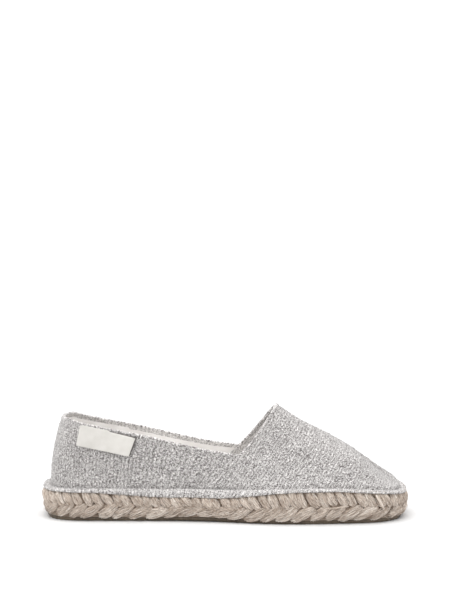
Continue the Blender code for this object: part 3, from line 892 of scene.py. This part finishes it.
def toe_vamp():
    """From the toe back to the throat; each station runs from the outer side of the sole over
    the crown to the inner side. The first, at the toe, runs up and down the same line."""
    seam = turn_at(SEAM_ALONG)
    turns = np.linspace(0, seam, VAMP_STATIONS)
    lines, backs = [], []
    for turn in turns:
        halves, half_backs = [], []
        for side_turn in (turn, (1 - turn) % 1.0):
            wall = Rib(side_turn).line(VAMP_ROWS, to_collar=False)
            flange = flange_line(side_turn, 0.0)
            wall[0] = flange[-1]
            halves.append(np.vstack((flange, wall[1:])))
            half_backs.append(flange_line(side_turn, CLOTH))
        lines.append(np.vstack((halves[0], halves[1][-2::-1])))
        backs.append(half_backs)
    grid = np.array(lines)
    crown = FLANGE_ROWS + VAMP_ROWS - 2
    count = grid.shape[1]
    normals = cloth_normals(grid)
    tip = unit(normals[0] + normals[0, ::-1])
    normals[0] = tip
    reach = np.zeros(grid.shape[:2])
    first = FLANGE_ROWS - 1
    reach[:, first : crown + 1] = distance_along(grid[:, first : crown + 1], 1, False)
    reach[:, crown : count - first] = distance_along(grid[:, crown : count - first], 1, True)
    sides = np.where(np.arange(count) <= crown, LATERAL, MEDIAL) * np.ones((len(turns), 1), int)
    grid = soft_relief(grid, normals, reach, sides)
    grid[0] = (grid[0] + grid[0, ::-1]) / 2
    to_edge = distance_along(grid, 0, True)
    flange_backs = np.zeros_like(grid)
    for i, (outer, inner) in enumerate(backs):
        flange_backs[i, :FLANGE_ROWS] = outer
        flange_backs[i, count - FLANGE_ROWS :] = inner[::-1]
    places = np.empty(grid.shape[:2] + (2,))
    places[..., 0] = VAMP_GRAIN * (grid[..., 0] - THREAD_SLANT * grid[..., 2])
    length = distance_along(grid, 1, False)
    places[..., 1] = VAMP_GRAIN * (length - length[:, crown : crown + 1])
    cloth = Cloth(normals, places, THROAT_FACING)
    cloth_shell(cloth, grid, flange_backs, reach, to_edge, VAMP_LAP)
    return cloth


def sew_cloth(name, cloth, open_start, materials):
    """Joins face, back and rounded edges; inside, a paler copy of the boucle shows along
    the opening, partly its wrong side and partly painted light against the shade in there,
    and the lining below it."""
    piece = Sewn()
    face, back, places = cloth.face, cloth.back, cloth.places
    piece.patch(face, places, 0, cloth.rub)
    faced = cloth.to_edge[:-1, :-1] < cloth.facing
    piece.patch(back, places, np.where(faced, 2, 1), cloth.rub)
    # The first lower rim is paler for wear and painted light; the other rims, at the collar and the
    # throat among them, are made paler as painted light
    rim(piece, face, back, places, 1, 0)
    rim(piece, face, back, places, 1, -1, rub=RIM_PAINTED_LIGHT)
    rim(piece, face, back, places, 0, -1, rub=RIM_PAINTED_LIGHT)
    if open_start:
        rim(piece, face, back, places, 0, 0)
    return piece.make(name, materials, "upper", replaces=["upper"], sharp=180)


def line_at(cloth, distance, axis):
    """The line on a cloth's face that lies a set distance in from its edge."""
    face, out, gap = cloth.face, cloth.normals, cloth.to_edge
    if axis == 1:
        face, out, gap = face.transpose(1, 0, 2), out.transpose(1, 0, 2), gap.T
    points, normals = [], []
    for j in range(face.shape[1]):
        order = slice(None, None, -1)
        points.append([np.interp(distance, gap[order, j], face[order, j, k]) for k in range(3)])
        normals.append([np.interp(distance, gap[order, j], out[order, j, k]) for k in range(3)])
    return np.array(points), unit(np.array(normals))


# Rows of stitches in millimetres: how far apart, how long, how thick and how proud of the cloth
SEAMS = {
    "throat_stitches": {"pitch": 2.9, "length": 2.3, "radius": 0.24, "proud": 0.10, "seed": 3},
    "collar_stitches": {"pitch": 2.9, "length": 2.2, "radius": 0.20, "proud": 0.00, "seed": 4},
    "toe_stitches": {"pitch": 3.4, "length": 1.7, "radius": 0.30, "proud": 0.05, "seed": 8},
}
STITCH_STRAY = 0.08
STITCH_END = 0.35
STITCH_TIP = 0.05
STITCH_FLAT = 0.8
STITCH_POINTS = 7

# The toe's row: how far round it runs, how high on the turned-out edge it lies, how far
# its stitches face upwards, and the points of its line
TOE_SEWN = 0.12
TOE_SEWN_HIGH = 0.36
TOE_FACES_UP = 0.5
TOE_POINTS = 160


def stitches(name, points, normals, thread):
    """A row of sewn stitches along a line on the cloth; each dips in at both its ends."""
    seam = SEAMS[name]
    pitch, length, radius, proud = (seam[k] * MM for k in ("pitch", "length", "radius", "proud"))
    rng = random.Random(seam["seed"])
    piece = Sewn()
    reach = np.concatenate(([0.0], np.cumsum(np.linalg.norm(np.diff(points, axis=0), axis=1))))
    start = pitch / 2
    while start + length < reach[-1]:
        share = np.linspace(0, 1, STITCH_POINTS)
        places = start + length * share + rng.uniform(-STITCH_STRAY, STITCH_STRAY) * pitch
        path = np.stack([np.interp(places, reach, points[:, k]) for k in range(3)], axis=1)
        out = unit(np.stack([np.interp(places, reach, normals[:, k]) for k in range(3)], axis=1))
        rise = proud * (np.sin(share * math.pi) ** 0.5) - radius * (1 - np.sin(share * math.pi))
        path = path + out * rise[:, None]
        full = np.sin(np.clip(share, 0.04, 0.96) * math.pi) ** 0.5
        size = radius * (STITCH_END + (1 - STITCH_END) * full)
        size[0] = size[-1] = radius * STITCH_TIP
        cord(piece, path, out, size, size * STITCH_FLAT, 8, place=(start, 0.0))
        start += pitch
    return piece.make(name, [thread], "upper", sharp=180)


def toe_stitches(thread):
    """The cloth is sewn down over the edge of the sole with long twine stitches at the toe."""
    points, normals = [], []
    for turn in np.linspace(-TOE_SEWN, TOE_SEWN, TOE_POINTS):
        points.append(flange_point(turn, TOE_SEWN_HIGH, 0.0))
        normals.append((*outward(turn), TOE_FACES_UP))
    points, normals = np.array(points), unit(np.array(normals))
    stitches("toe_stitches", points, normals, thread)


# Loose yarn in millimetres: how long, high and thick, then how pale it is, the share of it
# that is loops, and how much of a loop's arch a loose end makes
FUZZ = {
    "count": 4200, "long": (0.7, 2.2), "high": (0.25, 0.75), "thick": (0.045, 0.075),
    "pale": (0.3, 1.4), "loops": 0.6, "end": 0.55, "bedded": 0.1, "seed": 9,
}
FUZZ_POINTS = 5


def cloth_fuzz(cloths, boucle):
    """Loose loops and fibre ends of the boucle yarn that stand off the cloth."""
    rng = random.Random(FUZZ["seed"])
    piece = Sewn()
    for _ in range(FUZZ["count"]):
        cloth = cloths[0] if rng.random() < 0.5 else cloths[1]
        stations, rows = cloth.face.shape[:2]
        i, j = rng.randrange(stations), rng.randrange(rows)
        start, out = cloth.face[i, j], cloth.normals[i, j]
        lie = unit(np.cross(out, [rng.uniform(-1, 1) for _ in range(3)]))
        length, height = rng.uniform(*FUZZ["long"]) * MM, rng.uniform(*FUZZ["high"]) * MM
        share = np.linspace(0, 1, FUZZ_POINTS)[:, None]
        arch = 1.0 if rng.random() < FUZZ["loops"] else FUZZ["end"]
        path = start + lie * length * share + out * height * np.sin(share * math.pi * arch)
        path = path - out * FUZZ["bedded"] * MM
        size = np.full(FUZZ_POINTS, rng.uniform(*FUZZ["thick"]) * MM)
        out = np.repeat(out[None, :], FUZZ_POINTS, axis=0)
        pale = rng.uniform(*FUZZ["pale"])
        cord(piece, path, out, size, size, 3, rub=pale, place=tuple(cloth.places[i, j]))
    return piece.make("cloth_fuzz", [boucle], "upper", sharp=180)


# The jute sole

UPPER_BUNDLES = 2 * 5 * round(PERIMETER / (2 * 5 * BRAID_PITCH))
LOWER_BUNDLES = UPPER_BUNDLES * 3 // 5

# The two rows of bundles, in millimetres: lengths round the sole and half sizes, each from
# and to; how far the ends are tucked in at the top and at the foot, and how full they are
# there; round_end is the foot's further tuck at the sole's toe and heel ends. high and low
# name the line that each end keeps to, and how far above it. The upper row's feet lie nearer
# the toe on the outer side, and so do the lower row's tops
UPPER_ROW = {
    "count": UPPER_BUNDLES, "first": 0.0, "seed": 11,
    "high": ("cloth_edge", 0.5), "low": ("braid_line", -0.6),
    "lean": (4.6, 8.2), "half": (2.8, 3.7), "thick": 2.2, "bow": (0.0, 1.2),
    "tuck": (2.3, 1.3), "ends": (0.85, 0.45), "stray": 0.6, "fibres": 34, "uneven": 0.6,
    "round_end": 0.0, "sides": 48, "ridges": 11,
}
LOWER_ROW = {
    "count": LOWER_BUNDLES, "first": 0.5, "seed": 23,
    "high": ("braid_line", 0.2), "low": ("tread", 1.6),
    "lean": (-20.0, -13.5), "half": (3.3, 4.2), "thick": 2.5, "bow": (-1.2, 0.4),
    "tuck": (1.5, 3.2), "ends": (0.25, 0.70), "stray": 0.6, "fibres": 54, "uneven": 0.8,
    "round_end": 3.0, "sides": 64, "ridges": 15,
}
BUNDLE_RINGS = 20
BUNDLE_STRAY = 0.14
BUNDLE_GROOVE = (0.20, 0.32)
BUNDLE_TWIST = (1.5, 4.5)
BUNDLE_LOT = 0.023

# The sizes of a bundle's swellings, and how much the smaller ones count
SWELL, SMALL_SWELL, SMALL_SHARE = 0.0031, 0.0011, 0.5

# A fibre on a bundle: where it starts and how long it is as shares of the bundle, how far to
# the sides it lies and drifts, and in millimetres how high it lifts and how thick it is
FIBRE = {
    "from": (0.05, 0.6), "long": (0.15, 0.5), "until": 0.97, "side": 0.17, "drift": 3.0,
    "high": (0.02, 0.55), "thick": (0.07, 0.26), "tip": 0.02, "points": 8,
}
TREAD_SHOWS = 0.0010
WAIST_SHOWS = 0.0022


def tread_shows(along):
    """How much of the tread's edge shows under the braid; it is most at the waist."""
    share = min(max((along - ARCH_FROM) / (ARCH_TO - ARCH_FROM), 0.0), 1.0)
    return TREAD_SHOWS + WAIST_SHOWS * math.sin(math.pi * share) ** 2


def end_share(along):
    """0 between the rounded heel and toe, and 1 at their tips."""
    return max(0.0, (HEEL_ROUND - along) / HEEL_ROUND, (along - TOE_ROUND) / (1 - TOE_ROUND))


class Braid:
    """Gathers the bundles of one row and the fibres that lie over them."""

    def __init__(self, row):
        self.row, self.rng = row, random.Random(row["seed"])
        self.bundles, self.fibres = Sewn(), Sewn()

    def between(self, name):
        return self.rng.uniform(*self.row[name]) * MM

    def bundle(self, turn, high, low, number):
        """One bundle: high and low give the heights of its ends from a share of the length."""
        row, rng = self.row, self.rng
        lean, half, bow = self.between("lean"), self.between("half"), self.between("bow")
        thick = row["thick"] * MM
        share = np.linspace(0, 1, BUNDLE_RINGS)
        path, out, insets = [], [], []
        for s in share:
            place = turn + (lean * (0.5 - s) + bow * math.sin(math.pi * s)) / PERIMETER
            tuck = row["tuck"][0] * (1 - s) ** 4 + row["tuck"][1] * s**4
            tuck += row["round_end"] * end_share(along_at(place)) * s**2
            insets.append(thick + tuck * MM)
            x, y = edge(place, insets[-1])
            along = share_at(x)
            sway = noise.noise(Vector((number * 7.3, s * 2.2, row["thick"]))) * row["uneven"] * MM
            path.append((x, y, high(along) + (low(along) - high(along)) * s + sway))
            out.append((*outward(place), 0.0))
        path, out = np.array(path), np.array(out)
        ends = row["ends"][0] + (row["ends"][1] - row["ends"][0]) * share
        size = ends + (1 - ends) * np.sin(math.pi * share) ** 0.7
        size[0] = size[-1] = 0.02
        points, places = strand(
            path, out, half * size, thick * size, row["sides"], (number * BUNDLE_LOT, 0.0),
            row["ridges"], rng.uniform(*BUNDLE_GROOVE), rng.uniform(*BUNDLE_TWIST),
        )
        self.roughen(points, out)
        self.rest_on_tread(points, path, out, insets)
        self.bundles.patch(points, places)
        for _ in range(row["fibres"]):
            self.fibre(points, out, number)

    def roughen(self, points, out):
        """Hand-laid fibre is uneven: the face of a bundle swells and thins along it."""
        for ring, way in zip(points[1:-1], out[1:-1]):
            for point in ring:
                place = Vector(point)
                swell = noise.noise(place / SWELL) + SMALL_SHARE * noise.noise(place / SMALL_SWELL)
                point += way * swell * self.row["uneven"] * 0.5 * MM

    def rest_on_tread(self, points, path, out, insets):
        """A bundle is pressed flat on the tread, and hangs a little over the tread's edge."""
        for ring, middle, way, inset in zip(points, path, out, insets):
            for point in ring:
                is_over = inset - np.dot(point - middle, way) > RUBBER_INSET - SEAT_GAP
                along = share_at(point[0])
                rest = RUBBER + SEAT_GAP if is_over else tread_shows(along)
                point[2] = max(point[2], ground(along) + rest)

    def fibre(self, points, out, number):
        """A fibre that follows its bundle's face and lifts off it a little."""
        rng = self.rng
        first = rng.uniform(*FIBRE["from"])
        last = min(first + rng.uniform(*FIBRE["long"]), FIBRE["until"])
        steps = FIBRE["points"]
        rings = np.linspace(first, last, steps) * (BUNDLE_RINGS - 1)
        sides = self.row["sides"]
        side = sides * (0.25 + rng.uniform(-FIBRE["side"], FIBRE["side"]))
        drift = rng.uniform(-FIBRE["drift"], FIBRE["drift"])
        height = rng.uniform(*FIBRE["high"]) * MM
        path, away = [], []
        for k, ring in enumerate(rings):
            column = int(round(side + drift * k / steps)) % sides
            low = int(ring)
            blend = ring - low
            here = points[low, column] * (1 - blend) + points[low + 1, column] * blend
            rise = height * math.sin(math.pi * (k + 0.5) / steps)
            path.append(here + out[low] * rise)
            away.append(out[low])
        size = np.full(steps, rng.uniform(*FIBRE["thick"]) * MM)
        size[0] = size[-1] = FIBRE["tip"] * MM
        place = (rng.random(), 0.0)
        cord(self.fibres, np.array(path), np.array(away), size, size, 4, place=place)


def end_line(line, above):
    """Gives the height of a bundle's end from a share of the length: so far above a line."""
    def height(along):
        if line == "tread":
            return ground(along) + tread_shows(along) + above
        return sole_height(line, along) + above
    return height


def braid_row(kind, row, jute):
    """Lays the bundles of one row round the sole. Both rows are uneven where they meet."""
    braid = Braid(row)
    for number in range(row["count"]):
        turn = (number + braid.rng.uniform(-BUNDLE_STRAY, BUNDLE_STRAY)) / row["count"]
        stray = braid.rng.uniform(-row["stray"] * MM, row["stray"] * MM)
        high, low = (
            end_line(line, above * MM + (stray if line == "braid_line" else 0.0))
            for line, above in (row["high"], row["low"])
        )
        braid.bundle(turn, high, low, number + row["first"])
    braid.bundles.make(kind + "_braid", [jute], "jute_sole", replaces=["jute_sole"], sharp=180)
    braid.fibres.make(kind + "_fibres", [jute], "jute_sole", sharp=180)


CORE_COLUMNS = 240
CORE_INSET = 0.0030
CORE_BEVEL = (0.0008, 0.0012)


def ring(inset, height):
    points = []
    for i in range(CORE_COLUMNS + 1):
        x, y = edge((i % CORE_COLUMNS) / CORE_COLUMNS, inset)
        points.append((x, y, height(share_at(x))))
    return points


def lid(points):
    """A ring drawn straight across, side to side, as a patch of its own."""
    half = CORE_COLUMNS // 2
    other = [points[(CORE_COLUMNS - i) % CORE_COLUMNS] for i in range(half + 1)]
    return np.array([points[: half + 1], other])


def jute_core(jute):
    """The coiled jute that the braid is sewn round: the sole's whole body behind it. It is
    given the darker jute, as painted shade in the gaps between the bundles.
    """
    depth = CLOTH + SEAT_GAP
    levels = (
        (FEATHER_INSET + depth, "top"), (CORE_INSET + depth, "top"),
        (CORE_INSET, "cloth_edge"), (CORE_INSET, "braid_line"),
    )
    rings = [ring(inset, lambda a: sole_height(line, a)) for inset, line in levels]
    for bevel, rise in ((0.0, CORE_BEVEL[1]), (CORE_BEVEL[0], 0.0)):
        rings.append(ring(CORE_INSET + bevel, lambda a: ground(a) + RUBBER + SEAT_GAP + rise))
    grid = np.array(rings)
    places = np.empty(grid.shape[:2] + (2,))
    places[..., 0] = grid[..., 2]
    places[..., 1] = np.linspace(0, PERIMETER, CORE_COLUMNS + 1)[None, :]
    piece = Sewn()
    piece.patch(grid, places)
    for points in (rings[0], rings[-1]):
        cover = lid(points)
        piece.patch(cover, cover[..., :2])
    return piece.make("jute_core", [jute], "jute_sole", replaces=["jute_sole"])


# Loose fibres in millimetres: how long, high and thick they are, how far they curl, how deep
# they are bedded, and where they start: how far in from the edge and above the rubber. climb
# is how steeply they rise, tilt how far they face upwards, tip how thick they end, and run
# and arch how much of their length and of a full bow they show
WISPS = {
    "count": 420, "long": (2.0, 8.0), "high": (0.2, 1.1), "climb": (-0.7, 0.7),
    "thick": (0.05, 0.09), "curl": 1.2, "bedded": 0.4, "inset": 0.3, "above": 2.5,
    "tilt": 0.15, "tip": 0.45, "run": 0.8, "arch": 0.8, "seed": 5,
}
WISP_POINTS = 7
WISP_LOT = 0.0017
WISP_LOWEST = 0.0010


def jute_wisps(jute):
    """Fibres that have worked loose from the braid."""
    rng = random.Random(WISPS["seed"])
    piece = Sewn()
    for number in range(WISPS["count"]):
        turn = rng.random()
        x, y = edge(turn, WISPS["inset"] * MM)
        along = share_at(x)
        low = ground(along) + RUBBER + WISPS["above"] * MM
        height = rng.uniform(low, sole_height("cloth_edge", along))
        way = outward(turn)
        out = np.array((way[0], way[1], WISPS["tilt"]))
        side = np.array((-way[1], way[0], 0.0)) * rng.choice((-1, 1))
        length, lift = rng.uniform(*WISPS["long"]) * MM, rng.uniform(*WISPS["high"]) * MM
        climb = rng.uniform(*WISPS["climb"])
        path = []
        for s in np.linspace(0, 1, WISP_POINTS):
            curl = noise.noise(Vector((number * 3.1, s * 1.7, 0.4)))
            p = np.array((x, y, height)) + side * length * s * WISPS["run"]
            bow = math.sin(math.pi * s * WISPS["arch"])
            p = p + out * lift * bow - out * WISPS["bedded"] * MM
            p[2] = max(p[2] + length * climb * s + curl * WISPS["curl"] * MM, WISP_LOWEST)
            path.append(p)
        thick = rng.uniform(*WISPS["thick"])
        size = np.linspace(1.0, WISPS["tip"], WISP_POINTS) * thick * MM
        out = np.repeat(out[None, :], WISP_POINTS, axis=0)
        cord(piece, np.array(path), out, size, size, 3, place=(number * WISP_LOT, 0.0))
    return piece.make("jute_wisps", [jute], "jute_sole", sharp=180)


# Strands that lie loose over the outer side's braid: along and height, from and to, and half
# their width. In millimetres: how far they sway, how proud they lie, how far in their ends
# go and how far apart they lie on the pattern
LOOSE_SWAY, LOOSE_PROUD, LOOSE_ENDS_IN, LOOSE_LOT = 0.5, 0.3, 1.3, 4
LOOSE_TWIST = {"ridges": 4, "ridge": 0.2, "twist": 5.0}
LOOSE_POINTS = 12
LOOSE_STRANDS = (
    {"from": (0.640, 0.0205), "to": (0.662, 0.0085), "wide": 0.00035},
    {"from": (0.646, 0.0200), "to": (0.670, 0.0100), "wide": 0.00030},
    {"from": (0.905, 0.0195), "to": (0.928, 0.0090), "wide": 0.00110},
    {"from": (0.300, 0.0095), "to": (0.345, 0.0070), "wide": 0.00030},
    {"from": (0.150, 0.0075), "to": (0.185, 0.0040), "wide": 0.00030},
    {"from": (0.770, 0.0110), "to": (0.830, 0.0125), "wide": 0.00060},
)


def loose_strands(jute):
    piece = Sewn()
    for number, strand in enumerate(LOOSE_STRANDS):
        path, out = [], []
        for s in np.linspace(0, 1, LOOSE_POINTS):
            along = strand["from"][0] + (strand["to"][0] - strand["from"][0]) * s
            height = strand["from"][1] + (strand["to"][1] - strand["from"][1]) * s
            turn = turn_at(along)
            sway = LOOSE_SWAY * MM * noise.noise(Vector((number * 5.3, s * 2.5, 0.2)))
            proud = LOOSE_PROUD * MM - LOOSE_ENDS_IN * MM * abs(2 * s - 1) ** 4
            x, y = edge(turn, -proud + sway * 0.3)
            path.append((x, y, height + sway))
            way = outward(turn)
            out.append((way[0], way[1], 0.0))
        full = np.sin(math.pi * np.linspace(0, 1, LOOSE_POINTS)) ** 0.7
        size = strand["wide"] * (0.5 + 0.5 * full)
        thick = size * 0.55 + 0.1 * MM
        place = (number * LOOSE_LOT * MM, 0.0)
        cord(piece, np.array(path), np.array(out), size, thick, 16, place=place, **LOOSE_TWIST)
    return piece.make("loose_strands", [jute], "jute_sole", sharp=180)


# Inside and on the heel

# The foot bed: its rows across, how far in its rounded edge begins and how much steeper it
# is at the sides, how thick its edge is as a share, and the hollow under the heel: where,
# how long and how deep
SEAT_ROWS = 25
SEAT_ROUNDING = 0.012
SEAT_SIDES = 12
SEAT_EDGE = 0.55
HEEL_SEAT = {"along": 0.14, "long": 0.07, "deep": 0.0005}


def insole_cloth(lining):
    """The foot bed: a thin pad wrapped in the lining cloth, a little hollow under the heel."""
    inset = FEATHER_INSET + CLOTH + INSOLE_CLEARANCE
    half = CORE_COLUMNS // 2
    seat = lid(ring(inset, lambda a: sole_height("top", a) + SEAT_GAP))
    across = np.linspace(0, 1, SEAT_ROWS)
    grid = np.empty((len(across), half + 1, 3))
    for k, share in enumerate(across):
        grid[k] = seat[0] * (1 - share) + seat[1] * share
    along = share_at(grid[..., 0])
    edge_share = np.minimum(across, 1 - across)[:, None] * 2
    ends = np.minimum(along - along.min(), along.max() - along) / SEAT_ROUNDING
    ends = np.clip(ends, 0, 1)
    round_edge = np.minimum(edge_share * SEAT_SIDES, 1) * np.ones_like(along)
    round_edge = np.minimum(round_edge, ends) ** 0.5
    hollow = np.exp(-(((along - HEEL_SEAT["along"]) / HEEL_SEAT["long"]) ** 2))
    hollow = HEEL_SEAT["deep"] * hollow * np.sin(math.pi * across)[:, None]
    top = grid.copy()
    top[..., 2] += INSOLE * (SEAT_EDGE + (1 - SEAT_EDGE) * round_edge) - hollow
    piece = Sewn()
    piece.patch(grid, grid[..., :2])
    piece.patch(top, grid[..., :2])
    for k in (0, -1):
        side = np.stack((grid[k], top[k]))
        piece.patch(side, side[..., :2])
    return piece.make("insole_cloth", [lining], "insole", replaces=["insole"], sharp=60)


# The tab: how much wider its front end is, how far its lower half peeps out and the halves
# gape there, how close it lies at its back end, and how it is drawn
TAB_FAN = 0.0022
TAB_PEEPS = 0.0009
TAB_GAPE = 0.0007
TAB_CLOSE = 0.0001
TAB_FOLD = 0.92
TAB_COLUMNS, TAB_ROWS = 38, 14
TAB_SMOOTHED = 12


def folded_tab(quarters, tapes):
    """A blank tape folded in two and sewn under the collar; its front end stands off, and its
    lower half peeps out there in the dark grey tape, painted shadow for the shade under that end."""
    columns, rows = TAB_COLUMNS, TAB_ROWS
    tree = BVHTree.FromPolygons(
        [v.co.copy() for v in quarters.data.vertices],
        [tuple(p.vertices) for p in quarters.data.polygons],
    )
    start = LABEL_START - LENGTH / 2
    far = start + LABEL_LENGTH
    first = Vector((start, 0, collar_height(start)))
    slope = (Vector((far, 0, collar_height(far))) - first).normalized()
    fall = Vector((slope.z, 0, -slope.x))
    bed, out = np.empty((columns, rows, 3)), np.empty((columns, rows, 3))
    places = np.empty((columns, rows, 2))
    for i in range(columns):
        for j in range(rows):
            across, down = i / (columns - 1), j / (rows - 1)
            place = first + slope * (LABEL_LENGTH * across + TAB_FAN * across * (0.5 - down))
            place += fall * (LABEL_BELOW_EDGE + LABEL_DROP * down)
            outside = Vector((place.x, -BALL_WIDTH, place.z))
            bed[i, j], out[i, j], _, _ = tree.ray_cast(outside, Vector((0, 1, 0)))
            places[i, j] = (LABEL_LENGTH * across, LABEL_DROP * down)
    for _ in range(TAB_SMOOTHED):
        for grid in (bed, out):
            around = grid[:-2, 1:-1] + grid[2:, 1:-1] + grid[1:-1, :-2] + grid[1:-1, 2:]
            grid[1:-1, 1:-1] = around / 4
    out = unit(out)
    share = np.linspace(0, 1, columns)[:, None, None]
    lift = TAB_CLOSE + LABEL_LIFT * share**2
    layer = LABEL_THICKNESS / 2
    piece = Sewn()
    gape = TAB_GAPE * share**4
    peep = share**2 * (TAB_PEEPS * np.array(slope) - TAB_PEEPS / 2 * np.array(fall))
    # The lower half (slot 1) takes the dark grey tape: painted shadow under the raised end
    halves = (
        {"from": 0.0, "to": layer * TAB_FOLD, "shift": peep, "open": 0.0, "side": 1},
        {"from": layer, "to": 2 * layer, "shift": 0.0, "open": gape, "side": 0},
    )
    for half in halves:
        around = bed + half["shift"]
        lower, upper = (around + out * (lift + half["open"] + half[end]) for end in ("from", "to"))
        slot = half["side"]
        piece.patch(lower, places, slot)
        piece.patch(upper, places, slot)
        for axis, end in ((1, 0), (1, -1), (0, 0), (0, -1)):
            rim(piece, upper, lower, places, axis, end, slot, 4)
    return piece.make("folded_tab", tapes, "side_label", replaces=["side_label"], sharp=60)


# The studio

ELEVATION = math.radians(5.55)
DISTANCE = 1.6
FRAME_PX = 600
SHOE_PX = 365
AIM_ROW = 459.4
AIM_HEIGHT = 0.0375


def camera():
    """A long lens a little above the floor, with the shoe low in an upright frame."""
    per_px = LENGTH / SHOE_PX
    data = bpy.data.cameras.new("camera")
    data.sensor_fit = "VERTICAL"
    data.sensor_height = 36
    data.lens = data.sensor_height * DISTANCE / (FRAME_PX * per_px)
    obj = bpy.data.objects.new("camera", data)
    bpy.context.scene.collection.objects.link(obj)
    back = Vector((0, -math.cos(ELEVATION), math.sin(ELEVATION)))
    up = Vector((0, math.sin(ELEVATION), math.cos(ELEVATION)))
    target = Vector((0, 0, AIM_HEIGHT)) + up * (AIM_ROW - FRAME_PX / 2) * per_px
    obj.location = target + back * DISTANCE
    obj.rotation_euler = (math.pi / 2 - ELEVATION, 0, 0)
    bpy.context.scene.camera = obj


# The dome's brightness from the floor's level up to overhead
SKY = (
    (0.0, 0.40), (0.05, 0.40), (0.11, 0.26), (0.20, 0.22), (0.45, 0.26), (0.70, 0.68), (1.0, 1.1),
)
SKY_STRENGTH = 2.60
NEAR_LIGHT, FAR_LIGHT = 1.03, 1.02
HEEL_LIGHT, TOE_LIGHT = 1.38, 0.84
FLOOR_SIZE = 60


def studio():
    """White paper under a dome of soft light: bright overhead, dimmer at the sides, and
    stronger on the side of the camera and of the heel."""
    bpy.ops.mesh.primitive_plane_add(size=FLOOR_SIZE)
    floor = bpy.context.object
    floor.name = "floor"
    floor.data.materials.append(matt_paper())
    world = bpy.data.worlds.new("dome")
    world.use_nodes = True
    tree = world.node_tree
    way = add(tree, "TexCoord", {}, "Generated")
    x, y, z = (add(tree, "SeparateXYZ", {0: way}, axis) for axis in "XYZ")
    light = add(tree, "ValToRGB", {"Fac": z}, stops=SKY)
    spread = {"From Min": -1.0, "From Max": 1.0}
    for axis, first, last in ((y, NEAR_LIGHT, FAR_LIGHT), (x, HEEL_LIGHT, TOE_LIGHT)):
        share = add(tree, "MapRange", {"Value": axis, "To Min": first, "To Max": last, **spread})
        light = add(tree, "Math", {0: light, 1: share}, operation="MULTIPLY")
    light = add(tree, "Math", {0: light, 1: SKY_STRENGTH}, operation="MULTIPLY")
    sky = tree.nodes["Background"]
    sky.inputs["Color"].default_value = (1.0, 1.0, 1.0, 1.0)
    tree.links.new(light, sky.inputs["Strength"])
    bpy.context.scene.world = world
    bpy.context.scene.view_settings.view_transform = "Standard"


def dress():
    boucle = boucle_cloth("boucle_cloth", ("#5f5a58", "#868281", "#aaa7a5", "#e4e1df"))
    # A paler copy of the boucle for inside the opening: its wrong side, and painted light against
    # the shade in there
    facing = boucle_cloth("boucle_wrong_side_and_painted_light", ("#a09c9a", "#bcb9b7", "#d4d1cf", "#f0eeec"))
    lining, thread = cotton_lining(), sewing_thread()
    cloths = [boucle, lining, facing]
    jute = raw_jute("raw_jute", ("#917e6e", "#cfbfb1", "#f5ece2"))
    # Darker jute: painted shade on the core between the bundles, and the toe's twine stitches
    shaded_core_and_twine_jute = raw_jute("shaded_core_and_twine_jute", ("#665749", "#8a796a", "#a8988a"))
    quarters, vamp = heel_quarters(), toe_vamp()
    quarter_piece = sew_cloth("heel_quarters", quarters, True, cloths)
    sew_cloth("toe_vamp", vamp, False, cloths)
    points, normals = line_at(vamp, STITCH_FROM_THROAT, 0)
    stitches("throat_stitches", points, normals, thread)
    points, normals = line_at(quarters, STITCH_FROM_COLLAR, 1)
    stitches("collar_stitches", points, normals, thread)
    toe_stitches(shaded_core_and_twine_jute)
    cloth_fuzz((quarters, vamp), boucle)
    jute_core(shaded_core_and_twine_jute)
    braid_row("upper", UPPER_ROW, jute)
    braid_row("lower", LOWER_ROW, jute)
    jute_wisps(jute)
    loose_strands(jute)
    insole_cloth(lining)
    right_side = satin_tape("satin_tape", ("#c3c0ba", "#d0cdc8"))
    # The dark grey tape is painted shadow, for the shade under the tab's raised end
    painted_shadow_tape = satin_tape("satin_tape_painted_shadow", ("#4d4946", "#66615d"))
    folded_tab(quarter_piece, [right_side, painted_shadow_tape])
    rubber = crepe_rubber()
    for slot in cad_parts["rubber_outsole"].material_slots:
        slot.material = rubber


camera()
studio()
dress()
